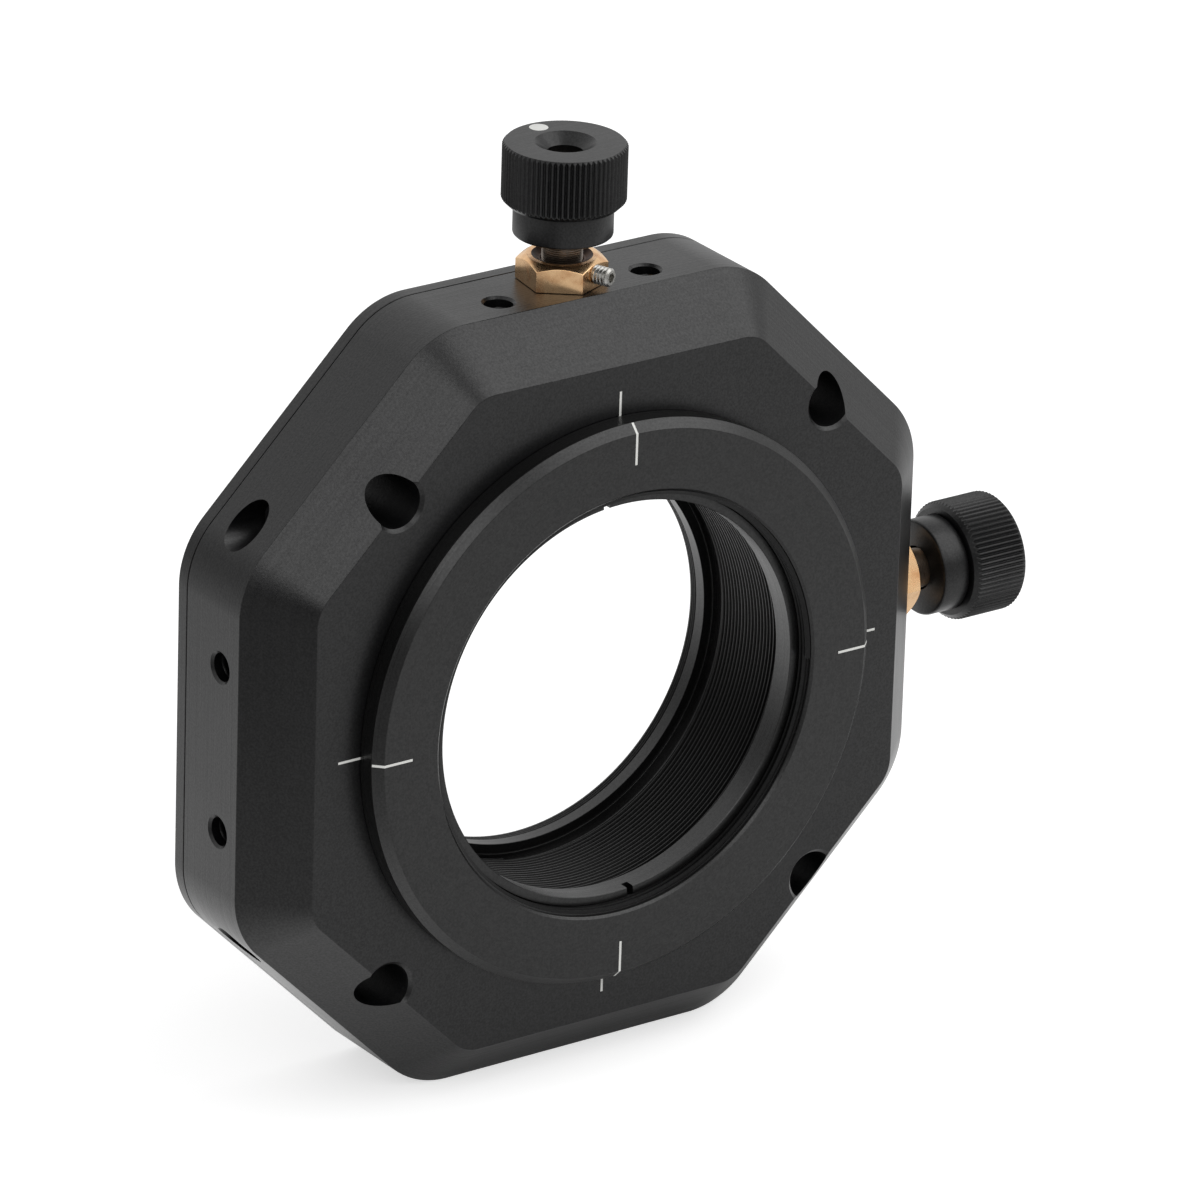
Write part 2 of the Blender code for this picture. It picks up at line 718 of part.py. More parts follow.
def make_adjuster_screw(axis, material, body):
    loops = [
        circle(ball_pocket_radius, screw_tip + BALL_POCKET_DEPTH, SMALL_ROUND),
        circle(ball_pocket_radius, screw_tip, SMALL_ROUND),
        circle(screw_radius - GAP, screw_tip, SMALL_ROUND),
        circle(screw_radius, screw_tip + GAP, SMALL_ROUND),
        circle(screw_radius, screw_end, SMALL_ROUND),
        hexagon(SCREW_SOCKET, screw_end, SMALL_ROUND),
        hexagon(SCREW_SOCKET, screw_end - SCREW_SOCKET, SMALL_ROUND),
    ]
    placing = outward(OUTWARD_ANGLE[axis], adjuster_depth)
    add(f"{axis}_adjuster_screw", loft(loops), material, placing, body)


def make_knob(axis, material, body):
    outer = KNOB_DIAMETER / 2
    shoulder = SHOULDER_DIAMETER / 2
    bore = screw_radius + GAP
    knurl_foot = knob_top - KNURL_HEIGHT
    step = screw_end + GAP
    profile = [
        (bore, knob_foot),
        (shoulder - SHOULDER_BEVEL, knob_foot),
        (shoulder, knob_foot + SHOULDER_BEVEL),
        (shoulder, knurl_foot - GROOVE_WIDTH),
        (shoulder - GROOVE_DEPTH, knurl_foot - GROOVE_WIDTH),
        (shoulder - GROOVE_DEPTH, knurl_foot),
        (outer - KNURL_BEVEL, knurl_foot),
        (outer, knurl_foot + KNURL_BEVEL),
        (outer, knob_top - KNOB_EDGE),
        (outer - KNOB_EDGE, knob_top),
        (KNOB_RECESS_DIAMETER / 2, knob_top),
        (KNOB_BORE_DIAMETER / 2, knob_top - KNOB_RECESS_DEPTH),
        (KNOB_BORE_DIAMETER / 2, step),
        (bore, step),
    ]
    placing = outward(OUTWARD_ANGLE[axis], adjuster_depth)
    add(f"{axis}_knob", turned(profile, KNOB_ROUND), material, placing, body)


def make_plunger(axis, material, body):
    head = PLUNGER_DIAMETER / 2
    stem = PLUNGER_STEM_DIAMETER / 2
    profile = [
        (head - GAP, plunger_tip),
        (head, plunger_tip + GAP),
        (head, plunger_shoulder),
        (stem, plunger_shoulder),
        (stem, plunger_shoulder + PLUNGER_STEM),
    ]
    placing = outward(RETURN_ANGLE[axis], adjuster_depth)
    add(f"{axis}_plunger", rod(profile, SMALL_ROUND), material, placing, body)


def make_return_spring(axis, material):
    """A coil between the plunger's shoulder and the floor of its pocket."""
    wire = SPRING_WIRE / 2
    coil = (SPRING_DIAMETER - SPRING_WIRE) / 2
    start = plunger_shoulder + GAP + wire
    end = pocket_floor - GAP - wire
    steps = SPRING_TURNS * COIL_STEPS
    rise = (end - start) / steps
    wire_angles = [2 * pi * k / WIRE_SIDES for k in range(WIRE_SIDES)]
    loops = []
    for step in range(steps + 1):
        angle = 2 * pi * step / COIL_STEPS
        centre = Vector((coil * cos(angle), coil * sin(angle), start + rise * step))
        out = Vector((cos(angle), sin(angle), 0))
        tangent = Vector((-sin(angle), cos(angle), rise * COIL_STEPS / (2 * pi * coil))).normalized()
        up = tangent.cross(out)
        loops.append([centre + wire * (out * cos(a) + up * sin(a)) for a in wire_angles])
    add(f"{axis}_return_spring", loft(loops), material, outward(RETURN_ANGLE[axis], adjuster_depth))


def main():
    clear_scene()
    black = finish("black_anodised_aluminium", (0.035, 0.035, 0.037), 0.42, 0.6)
    bronze = finish("phosphor_bronze", (0.62, 0.38, 0.22), 0.3, 1.0)
    steel = finish("stainless_steel", (0.56, 0.55, 0.53), 0.25, 1.0)
    dark_steel = finish("black_oxide_steel", (0.05, 0.05, 0.05), 0.4, 0.8)
    polymer = finish("acetal", (0.75, 0.75, 0.72), 0.5, 0.0)

    make_housing(black)
    make_rear_cover(black)
    make_cover_screws(dark_steel)
    make_lock_screws(dark_steel)
    make_glide_ring(polymer)

    slide_body = body_empty("cross_slide_body", along_depth())
    stage_body = body_empty("stage_body", along_depth(), slide_body)
    make_cross_slide(steel, slide_body)
    make_lens_cell(black, stage_body)
    make_retaining_ring(black, stage_body)
    make_drive_ring(black, stage_body)
    make_cell_screws(dark_steel, stage_body)

    for axis in ("x", "z"):
        make_contact_pad(axis, steel, stage_body)
        adjuster_line = outward(OUTWARD_ANGLE[axis], adjuster_depth)
        ball_body = body_empty(f"{axis}_nose_body", adjuster_line)
        knob_body = body_empty(f"{axis}_adjuster_body", adjuster_line, ball_body)
        plunger_body = body_empty(f"{axis}_plunger_body", outward(RETURN_ANGLE[axis], adjuster_depth))
        make_thrust_ball(axis, steel, ball_body)
        make_bushing(axis, bronze)
        make_bushing_screw(axis, steel)
        make_adjuster_screw(axis, steel, knob_body)
        make_knob(axis, black, knob_body)
        make_plunger(axis, steel, plunger_body)
        make_return_spring(axis, steel)


main()
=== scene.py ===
# %% [markdown]
# # A two-axis translating mount, dressed for its picture
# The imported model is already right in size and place. This lesson gives it the finish of the
# real mount: fine edge breaks, cut threads, a knurl, engraved marks and the metals themselves.
# Lengths are in millimetres, and a piece becomes metres only when it is finished. Only the paper
# and the lamps of the studio are placed in metres.

from math import atan2, cos, pi, radians, sin, sqrt, tan

import bmesh
import bpy
from mathutils import Matrix, Vector


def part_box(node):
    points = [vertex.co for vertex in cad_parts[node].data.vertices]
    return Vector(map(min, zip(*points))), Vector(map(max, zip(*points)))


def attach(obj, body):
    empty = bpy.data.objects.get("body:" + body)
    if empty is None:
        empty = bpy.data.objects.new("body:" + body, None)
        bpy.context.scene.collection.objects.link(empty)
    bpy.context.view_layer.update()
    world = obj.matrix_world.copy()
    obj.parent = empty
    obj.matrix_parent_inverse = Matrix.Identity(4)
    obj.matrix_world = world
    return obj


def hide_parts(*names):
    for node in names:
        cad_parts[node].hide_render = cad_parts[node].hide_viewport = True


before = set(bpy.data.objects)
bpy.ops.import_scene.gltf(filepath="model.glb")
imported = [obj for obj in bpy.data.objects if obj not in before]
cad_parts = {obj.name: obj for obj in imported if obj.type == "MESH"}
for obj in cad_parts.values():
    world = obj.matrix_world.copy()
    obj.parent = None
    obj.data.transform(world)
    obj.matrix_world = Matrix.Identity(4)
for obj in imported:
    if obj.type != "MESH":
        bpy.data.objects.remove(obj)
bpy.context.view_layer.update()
MM = 0.001

# %% [markdown]
# ## Where everything is
# The solids say where the mount's axes lie, so nothing is measured twice. The optical axis runs
# backwards from the front face, and each adjuster's axis crosses it at a right angle.

# %% Places read from the solids


def corners(node):
    """The lowest and highest corner of a solid, in millimetres."""
    low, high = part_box(node)
    return low / MM, high / MM


shell_low, shell_high = corners("housing")
cover_low, cover_high = corners("rear_cover")
cell_low, cell_high = corners("lens_cell")
ring_low, ring_high = corners("retaining_ring")
knob_low, knob_high = corners("z_knob")
hex_high = corners("z_bushing")[1]

front_y = shell_low.y
axis_up = (shell_low.z + shell_high.z) / 2
flat = shell_high.x
diagonal = max(v.co.x + v.co.z - axis_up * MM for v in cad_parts["housing"].data.vertices) / MM / sqrt(2)
cover_front = cover_low.y - front_y
body_rear = cover_high.y - front_y
adjuster_depth = (knob_low.y + knob_high.y) / 2 - front_y
knob_foot = knob_low.z - axis_up
knob_top = knob_high.z - axis_up
hex_top = hex_high.z - axis_up
print(f"axis {axis_up:.2f} up, flats at {flat:.2f}, diagonal sides at {diagonal:.2f}")
print(f"adjusters {adjuster_depth:.2f} behind the front, knob from {knob_foot:.2f} to {knob_top:.2f}")

# %% [markdown]
# ## Tools for making shapes
# Almost every piece here was turned on a lathe or milled from bar, so two ideas make them all:
# a loft through loops of points, and a profile whose corners are eased by a small arc. A real
# machined edge is never perfectly sharp, and that thin bright line is what the eye reads as metal.

# %% Profiles and lofts


def eased(profile, closed=False, steps=3):
    """A profile of (across, along, radius) points, each corner rounded by its radius."""
    points = [Vector(p[:2]) for p in profile]
    radii = [p[2] if len(p) > 2 else 0 for p in profile]
    rounded = []
    for i, corner in enumerate(points):
        inner = closed or 0 < i < len(points) - 1
        if not (inner and radii[i]):
            rounded.append(corner)
            continue
        back = (points[i - 1] - corner).normalized()
        ahead = (points[(i + 1) % len(points)] - corner).normalized()
        half = back.angle(ahead) / 2
        centre = corner + (back + ahead).normalized() * radii[i] / sin(half)
        start = corner + back * radii[i] / tan(half) - centre
        end = corner + ahead * radii[i] / tan(half) - centre
        first = atan2(start.y, start.x)
        sweep = (atan2(end.y, end.x) - first + pi) % (2 * pi) - pi
        for step in range(steps + 1):
            angle = first + sweep * step / steps
            rounded.append(centre + radii[i] * Vector((cos(angle), sin(angle))))
    return rounded


def circle(radius, height, count):
    angles = [2 * pi * i / count for i in range(count)]
    return [Vector((radius * cos(a), radius * sin(a), height)) for a in angles]


def hexagon(across_flats, height, count):
    """A hexagonal loop with as many points as the round loops it meets; a flat faces local X."""
    loop = []
    for i in range(count):
        angle = 2 * pi * i / count
        from_flat = (angle + pi / 6) % (pi / 3) - pi / 6
        reach = across_flats / 2 / cos(from_flat)
        loop.append(Vector((reach * cos(angle), reach * sin(angle), height)))
    return loop


def loft(loops, closed=False):
    """A closed shape through loops of equal length."""
    shape = bmesh.new()
    rings = [[shape.verts.new(point) for point in loop] for loop in loops]
    pairs = list(zip(rings, rings[1:]))
    if closed:
        pairs.append((rings[-1], rings[0]))
    else:
        shape.faces.new(rings[0])
        shape.faces.new(rings[-1])
    for lower, upper in pairs:
        for i in range(len(lower)):
            j = (i + 1) % len(lower)
            shape.faces.new((lower[i], lower[j], upper[j], upper[i]))
    bmesh.ops.recalc_face_normals(shape, faces=shape.faces)
    return shape


def turned(profile, count):
    """A ring turned from a closed profile of (radius, height) points."""
    return loft([circle(r, h, count) for r, h in profile], closed=True)


def rod(profile, count):
    """A solid of revolution from one flat end to the other."""
    return loft([circle(r, h, count) for r, h in profile])


def joined(shapes):
    """One mesh from several shapes that don't touch."""
    whole = bmesh.new()
    for shape in shapes:
        part = bpy.data.meshes.new("part")
        shape.to_mesh(part)
        shape.free()
        whole.from_mesh(part)
        bpy.data.meshes.remove(part)
    return whole


def moved(shape, matrix):
    bmesh.ops.transform(shape, matrix=matrix, verts=shape.verts)
    return shape


def block(size, centre):
    shape = bmesh.new()
    bmesh.ops.create_cube(shape, size=1.0)
    bmesh.ops.scale(shape, vec=size, verts=shape.verts)
    bmesh.ops.translate(shape, vec=centre, verts=shape.verts)
    return shape


# %% Placings along the two kinds of axis


def frame_of(origin, along, across):
    """A placing whose local Z runs along one direction and whose local X runs across it."""
    z = along.normalized()
    x = across.normalized()
    turn = Matrix((x, z.cross(x), z)).transposed().to_4x4()
    return Matrix.Translation(origin) @ turn


def along_depth(right=0.0, up=0.0, depth=0.0):
    """Local Z runs backwards from a point given from the optical axis and the front face."""
    return frame_of(Vector((right, front_y + depth, axis_up + up)), Vector((0, 1, 0)), Vector((1, 0, 0)))


def outward(angle, depth=adjuster_depth):
    """Local Z runs out from the optical axis at an angle from the right; local X runs backwards."""
    direction = Vector((cos(radians(angle)), 0, sin(radians(angle))))
    return frame_of(Vector((0, front_y + depth, axis_up)), direction, Vector((0, 1, 0)))


CAGE_CORNERS = ((1, 1), (-1, 1), (-1, -1), (1, -1))
ADJUSTERS = {"x": 0, "z": 90}
print("top adjuster's foot is at", outward(90) @ Vector((0, 0, knob_foot)))

# %% [markdown]
# ## From a shape to a finished piece
# A cut is a Boolean that is carried out at once, so that what leaves this step is a plain mesh.
# A Weighted Normal modifier then makes the wide faces shade flat and lets only the narrow
# edge breaks bend the light.

# %% Cutting and finishing

SHARP = radians(32)


def to_object(name, shape):
    mesh = bpy.data.meshes.new(name)
    shape.to_mesh(mesh)
    shape.free()
    piece = bpy.data.objects.new(name, mesh)
    bpy.context.scene.collection.objects.link(piece)
    return piece


def settled(piece):
    """The piece with its modifiers carried out and removed."""
    graph = bpy.context.evaluated_depsgraph_get()
    mesh = bpy.data.meshes.new_from_object(piece.evaluated_get(graph))
    piece.modifiers.clear()
    old = piece.data
    piece.data = mesh
    bpy.data.meshes.remove(old)
    mesh.name = piece.name
    return piece


def cut(piece, shape):
    cutter = to_object("cutter", shape)
    modifier = piece.modifiers.new("cut", "BOOLEAN")
    modifier.operation = "DIFFERENCE"
    modifier.object = cutter
    modifier.solver = "EXACT"
    settled(piece)
    bpy.data.objects.remove(cutter)


def finished(piece, material, body, replaces=(), weighted=True):
    """Shades a piece, turns its millimetres into metres and hangs it on its body."""
    mesh = piece.data
    mesh.materials.clear()
    mesh.materials.append(material)
    mesh.shade_smooth()
    mesh.set_sharp_from_angle(angle=SHARP)
    if weighted:
        piece.modifiers.new("flat faces stay flat", "WEIGHTED_NORMAL").keep_sharp = True
        settled(piece)
    piece.data.transform(Matrix.Scale(MM, 4))
    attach(piece, body)
    if replaces:
        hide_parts(*replaces)
    print(f"{piece.name}: {len(piece.data.polygons)} faces on {body}")
    return piece


# %% [markdown]
# ## Writing materials
# Colours are chosen the way a painter would, as the hex code the eye sees, and one function turns
# a code into the linear light that the renderer mixes. One more function adds a node, so that a
# material below reads as a list of what it does.

# %% Colour and nodes


def hex_colour(code):
    """Linear red, green, blue and alpha from an sRGB hex code."""
    channels = [int(code[i : i + 2], 16) / 255 for i in (1, 3, 5)]
    linear = [c / 12.92 if c <= 0.04045 else ((c + 0.055) / 1.055) ** 2.4 for c in channels]
    return (*linear, 1.0)


def add_node(tree, kind, inputs=None, **settings):
    """Adds a node, with its settings, and its inputs either as values or as links."""
    node = tree.nodes.new(kind)
    for name, value in settings.items():
        setattr(node, name, value)
    for socket, value in (inputs or {}).items():
        if isinstance(value, bpy.types.NodeSocket):
            tree.links.new(value, node.inputs[socket])
        else:
            node.inputs[socket].default_value = value
    return node


def start_material(name, colour, roughness, metallic=0.0):
    """A material, its tree, its shader and the place on the piece in millimetres."""
    material = bpy.data.materials.new(name)
    material.use_nodes = True
    tree = material.node_tree
    shader = tree.nodes["Principled BSDF"]
    shader.inputs["Base Color"].default_value = hex_colour(colour)
    shader.inputs["Roughness"].default_value = roughness
    shader.inputs["Metallic"].default_value = metallic
    place = add_node(tree, "ShaderNodeTexCoord").outputs["Object"]
    in_mm = add_node(
        tree, "ShaderNodeVectorMath", {0: place, 1: (1 / MM,) * 3}, operation="MULTIPLY"
    ).outputs[0]
    return material, tree, shader, in_mm


print("mid grey #808080 is", round(hex_colour("#808080")[0], 3), "in linear light")

# %% [markdown]
# ## Black anodised aluminium
# The body is milled from aluminium plate, blasted with fine beads and anodised black. Blasting
# leaves dimples about a tenth of a millimetre wide, so the light spreads and no face mirrors.
# Noise for the dimples drives a bump and the shine of each dimple, so the face looks grainy, and a
# slower noise makes some parts a little smoother than others. The beads are drawn a quarter of a
# millimetre wide and the milling lines three tenths, because the real ones would fall between
# pixels.

# %% Blasted and anodised
RANGE = ("From Min", "From Max", "To Min", "To Max")
NOISE_SPAN = (0.3, 0.7)
TWO_NOISES_SPAN = (0.7, 1.3)
BEAD = 0.25
BEAD_SHINE = 0.17
MILL_LINE = 0.3
MILL_LENGTH = 30.0
DYE_CLOUD = 18.0


def surfaced(
    tree, shader, roughness, height, strength, depth, uneven=None, span=NOISE_SPAN, spread=0.0, **under
):
    """Presses a height into the surface, and lets an uneven number push its roughness up and down."""
    relief = {"Height": height, "Strength": strength, "Distance": depth * MM, **under}
    bump = add_node(tree, "ShaderNodeBump", relief)
    tree.links.new(bump.outputs["Normal"], shader.inputs["Normal"])
    if uneven is not None:
        limits = dict(zip(RANGE, (*span, roughness - spread, roughness + spread)))
        gloss = add_node(tree, "ShaderNodeMapRange", {"Value": uneven, **limits})
        tree.links.new(gloss.outputs["Result"], shader.inputs["Roughness"])


def grained(tree, shader, in_mm, shine):
    """Blasted dimples that each shine a little more or less; gives back their height."""
    grain = {"Vector": in_mm, "Scale": 1 / BEAD, "Detail": 2.0}
    beads = add_node(tree, "ShaderNodeTexNoise", grain).outputs["Fac"]
    limits = dict(zip(RANGE, (*NOISE_SPAN, shine * (1 - BEAD_SHINE), shine * (1 + BEAD_SHINE))))
    specks = add_node(tree, "ShaderNodeMapRange", {"Value": beads, **limits})
    tree.links.new(specks.outputs["Result"], shader.inputs["Specular IOR Level"])
    return beads


def blasted_black(name, colour, roughness, shine=0.55, dimple=0.02, line=0.02):
    material, tree, shader, in_mm = start_material(name, colour, roughness)
    beads = grained(tree, shader, in_mm, shine)
    clouds = add_node(tree, "ShaderNodeTexNoise", {"Vector": in_mm, "Scale": 1 / DYE_CLOUD, "Detail": 3.0})
    along = (1 / MILL_LENGTH, 1 / MILL_LINE, 1 / MILL_LENGTH)
    stretched = add_node(tree, "ShaderNodeVectorMath", {0: in_mm, 1: along}, operation="MULTIPLY").outputs[0]
    lines = add_node(tree, "ShaderNodeTexNoise", {"Vector": stretched, "Scale": 1.0, "Detail": 2.0})
    lines = lines.outputs["Fac"]
    uneven = add_node(tree, "ShaderNodeMath", {0: lines, 1: clouds.outputs["Fac"]}, operation="ADD")
    milled = add_node(tree, "ShaderNodeBump", {"Height": lines, "Strength": 0.7, "Distance": line * MM})
    surfaced(
        tree,
        shader,
        roughness,
        beads,
        0.7,
        dimple,
        uneven.outputs[0],
        TWO_NOISES_SPAN,
        0.04,
        Normal=milled.outputs[0],
    )
    return material


body_black = blasted_black("anodised_aluminium_blasted", "#070708", 0.34)
knob_black = blasted_black("anodised_aluminium_knurled", "#060607", 0.36, shine=0.5, dimple=0.012, line=0.0)

# %% [markdown]
# The lens cell was turned before it was blasted, so under its grain run the fine rings of the tool.
# The distance from the optical axis, put through noise, gives rings that are never quite even.

# %% Turned and anodised
TOOL_FEED = 0.12


def turned_black(name, colour, roughness, shine=0.55):
    material, tree, shader, in_mm = start_material(name, colour, roughness)
    grained(tree, shader, in_mm, shine)
    split = add_node(tree, "ShaderNodeSeparateXYZ", {0: in_mm}).outputs
    up = add_node(tree, "ShaderNodeMath", {0: split["Z"], 1: axis_up}, operation="SUBTRACT").outputs[0]
    across = add_node(tree, "ShaderNodeCombineXYZ", {"X": split["X"], "Y": up}).outputs[0]
    radius = add_node(tree, "ShaderNodeVectorMath", {0: across}, operation="LENGTH").outputs["Value"]
    at = add_node(tree, "ShaderNodeCombineXYZ", {"X": radius, "Y": split["Y"]}).outputs[0]
    rings = add_node(tree, "ShaderNodeTexNoise", {"Vector": at, "Scale": 1 / TOOL_FEED, "Detail": 1.0})
    rings = rings.outputs["Fac"]
    surfaced(tree, shader, roughness, rings, 0.6, 0.008, uneven=rings, spread=0.05)
    return material


cell_black = turned_black("anodised_aluminium_turned", "#080808", 0.32, shine=0.6)
thread_black = turned_black("anodised_aluminium_threaded", "#050505", 0.36, shine=0.28)

# %% [markdown]
# ## Bronze, steel, enamel and acetal
# Phosphor bronze is a metal, so its colour is the colour of its reflections, a warm copper pink.
# Stainless steel is a plain pale grey and ground smooth, and the hardened adjuster screws are
# darker. The small black screws got their colour from hot oxide. The marks are cut with an
# engraver and filled with white enamel, and the ring that the stage glides on is moulded acetal,
# which lets a little light in.

# %% Metals and fillings
STAINS_PER_MM = 0.6
STAIN_SPAN = (0.46, 0.72)
GRAINS_PER_MM = 5.0
LIGHT_REACH = 0.3


def machined_metal(name, colour, tarnish, roughness, line=0.09, depth=0.003, metallic=1.0):
    """A metal cut or ground with fine lines; it is tarnished in clouds a millimetre or two wide."""
    material, tree, shader, in_mm = start_material(name, colour, roughness, metallic)
    lines = add_node(tree, "ShaderNodeTexNoise", {"Vector": in_mm, "Scale": 1 / line, "Detail": 2.0})
    stains = add_node(tree, "ShaderNodeTexNoise", {"Vector": in_mm, "Scale": STAINS_PER_MM, "Detail": 4.0})
    stains = stains.outputs["Fac"]
    spread = add_node(tree, "ShaderNodeMapRange", {"Value": stains, **dict(zip(RANGE, STAIN_SPAN))})
    colours = {"Factor": spread.outputs["Result"], "A": hex_colour(colour), "B": hex_colour(tarnish)}
    tint = add_node(tree, "ShaderNodeMix", colours, data_type="RGBA")
    tree.links.new(tint.outputs["Result"], shader.inputs["Base Color"])
    surfaced(tree, shader, roughness, lines.outputs["Fac"], 0.3, depth, uneven=stains, spread=0.06)
    return material


bronze = machined_metal("phosphor_bronze_turned", "#F6CC9C", "#DDA878", 0.24)
# A dark bronze that paints the shade under the knob onto the bushing's dish
bronze_painted_shade = machined_metal("phosphor_bronze_tarnished", "#4F3627", "#2A1D16", 0.42)
steel = machined_metal("stainless_steel_ground", "#C9C8C4", "#A9A7A1", 0.3)
screw_steel = machined_metal("hardened_steel_dark", "#8F857B", "#6B6259", 0.36)
oxide_steel = machined_metal("steel_hot_black_oxide", "#232324", "#1A1A1B", 0.38, metallic=0.6)


def filled(name, colour, roughness, subsurface=0.0):
    material, tree, shader, in_mm = start_material(name, colour, roughness)
    shader.inputs["Subsurface Weight"].default_value = subsurface
    shader.inputs["Subsurface Radius"].default_value = (LIGHT_REACH * MM,) * 3
    grain = add_node(tree, "ShaderNodeTexNoise", {"Vector": in_mm, "Scale": GRAINS_PER_MM, "Detail": 3.0})
    surfaced(tree, shader, roughness, grain.outputs["Fac"], 0.2, 0.005)
    return material


enamel = filled("enamel_white", "#ECECE8", 0.35)
acetal = filled("acetal_moulded", "#E3E2DC", 0.4, subsurface=0.3)
print("materials:", [m.name for m in bpy.data.materials])

# %% [markdown]
# ## The body
# The body is an octagon with rounded corners, milled with one wide chamfer round its front. It
# could be a cube with a Bevel modifier, but a loft between outlines that are moved in by a known
# amount keeps the arcs true and puts every edge break exactly where the cutter left it.

# %% The outline and the shell
CORNER_RADIUS = 11.0
CORNER_STEPS = 24
FRONT_CHAMFER = 6.35
EDGE_BREAK = 0.18
SEAM = 0.14
SEAM_BREAK = 0.08
SHELL_LAP = 0.5


def octagon(inset, depth):
    """The body's outline, moved in by an amount, with an arc at each of its eight corners."""
    loop = []
    for corner in range(8):
        first = corner * pi / 4
        near, far = (diagonal, flat) if corner % 2 else (flat, diagonal)
        # The arc's centre is where the two sides meet once both are moved in by the radius
        a = near - CORNER_RADIUS
        side = (far - CORNER_RADIUS - a * cos(pi / 4)) / sin(pi / 4)
        centre = Vector((a * cos(first) - side * sin(first), a * sin(first) + side * cos(first), depth))
        reach = CORNER_RADIUS - inset
        for step in range(CORNER_STEPS + 1):
            angle = first + pi / 4 * step / CORNER_STEPS
            loop.append(centre + Vector((reach * cos(angle), reach * sin(angle), 0)))
    return loop


shell_end = cover_front - SEAM
shell_profile = eased(
    [
        (FRONT_CHAMFER + 1, 0),
        (FRONT_CHAMFER, 0, EDGE_BREAK),
        (0, FRONT_CHAMFER, EDGE_BREAK),
        (0, shell_end, SEAM_BREAK),
        (SHELL_LAP, shell_end),
    ]
)
shell = to_object("housing_shell", moved(loft([octagon(i, d) for i, d in shell_profile]), along_depth()))
print("shell lofted through", len(shell_profile), "outlines")

# %% [markdown]
# The holes are drilled next. A cutter always starts a little above the face it opens, and its
# countersink is part of its profile, which is how the teardrop appears by itself where a rod's
# hole meets the chamfer.

# %% Bores and drilled holes
ABOVE = 1.0
HOLE_ROUND = 96
BORE_ROUND = 192
FRONT_WALL = 5.2
WINDOW_RADIUS = 31.01
CAVITY_RADIUS = 37.11
CAGE = 30.0
ROD_RADIUS = 3.0
ROD_COUNTERSINK = 0.4
TAPPED_SPACING = 20.32
TAPPED_DEPTH = 10.16
TAPPED_RADIUS = 1.7
TAPPED_COUNTERSINK = 0.3
TAPPED_LENGTH = 7.5


def drill(piece, profile, places, count=HOLE_ROUND):
    """Cuts the same turned hole, a profile of (radius, height) points, at each of several places."""
    cut(piece, joined([moved(rod(profile, count), place) for place in places]))


optical_axis = [along_depth()]
drill(shell, [(WINDOW_RADIUS, -ABOVE), (WINDOW_RADIUS, FRONT_WALL + ABOVE)], optical_axis, BORE_ROUND)
drill(shell, [(CAVITY_RADIUS, FRONT_WALL), (CAVITY_RADIUS, shell_end + ABOVE)], optical_axis, BORE_ROUND)

rod_profile = [
    (ROD_RADIUS + ROD_COUNTERSINK + ABOVE, -ABOVE),
    (ROD_RADIUS, ROD_COUNTERSINK),
    (ROD_RADIUS, body_rear + ABOVE),
]
rod_places = [along_depth(x * CAGE, z * CAGE) for x, z in CAGE_CORNERS]
drill(shell, rod_profile, rod_places)

tapped_profile = [
    (TAPPED_RADIUS, -TAPPED_LENGTH),
    (TAPPED_RADIUS, -TAPPED_COUNTERSINK),
    (TAPPED_RADIUS + TAPPED_COUNTERSINK + ABOVE, ABOVE),
]
# Each flat has two, and local Z runs out of the hole
tapped_places = [
    outward(angle, TAPPED_DEPTH) @ Matrix.Translation((0, side * TAPPED_SPACING / 2, flat))
    for angle in (0, 90, 180, 270)
    for side in (1, -1)
]
drill(shell, tapped_profile, tapped_places)
print("drilled for", len(rod_places), "rods and", len(tapped_places), "tapped holes")

# %% [markdown]
# A set screw holds each cage rod. Its hole comes in from the side, wide at first and then just
# wide enough for the thread.

# %% Holes for the rods' set screws and for the bushings
LOCK_DEPTH = 11.8
LOCK_OFFSET = 4.0
LOCK_MOUTH_RADIUS = 2.54
LOCK_SCREW_RADIUS = 1.7
LOCK_SCREW_FOOT = 3.3
LOCK_SCREW_LENGTH = 6.0
LOCK_SCREW_PLAY = 0.05
LOCK_CONE_START = 1.0
LOCK_CONE_END = 0.6
CLEARANCE = 0.3
BUSHING_BARREL = 3.5
PLUNGER_RADIUS = 2.2
POCKET_FLOOR = 2.5


def lock_placing(side_x, side_z):
    """Local Z runs out along the set screw, from a point nearer the middle than the rod's axis."""
    origin = Vector((side_x * CAGE, front_y + LOCK_DEPTH, axis_up + side_z * (CAGE - LOCK_OFFSET)))
    return frame_of(origin, Vector((side_x, 0, 0)), Vector((0, 1, 0)))


lock_step = LOCK_SCREW_FOOT + LOCK_SCREW_LENGTH + CLEARANCE
lock_profile = [
    (LOCK_SCREW_RADIUS + LOCK_SCREW_PLAY, ROD_RADIUS - 2 * ABOVE),
    (LOCK_SCREW_RADIUS + LOCK_SCREW_PLAY, lock_step - LOCK_CONE_START),
    (LOCK_MOUTH_RADIUS, lock_step + LOCK_CONE_END),
    (LOCK_MOUTH_RADIUS, flat - CAGE + ABOVE),
]
lock_places = [lock_placing(*corner) for corner in CAGE_CORNERS]
drill(shell, lock_profile, lock_places)

bushing_profile = [(BUSHING_BARREL, CAVITY_RADIUS - ABOVE), (BUSHING_BARREL, flat + ABOVE)]
drill(shell, bushing_profile, [outward(angle) for angle in ADJUSTERS.values()])
pocket = PLUNGER_RADIUS + CLEARANCE
pocket_profile = [(pocket, CAVITY_RADIUS - ABOVE), (pocket, flat - POCKET_FLOOR)]
drill(shell, pocket_profile, [outward(angle + 180) for angle in ADJUSTERS.values()])
finished(shell, body_black, "body", ["housing"])

# %% [markdown]
# ## The rear cover
# A thin plate of the same outline closes the back. Seen from the front it is only a strip beyond
# a hairline seam, but from behind it carries four countersunk screws round a round window.

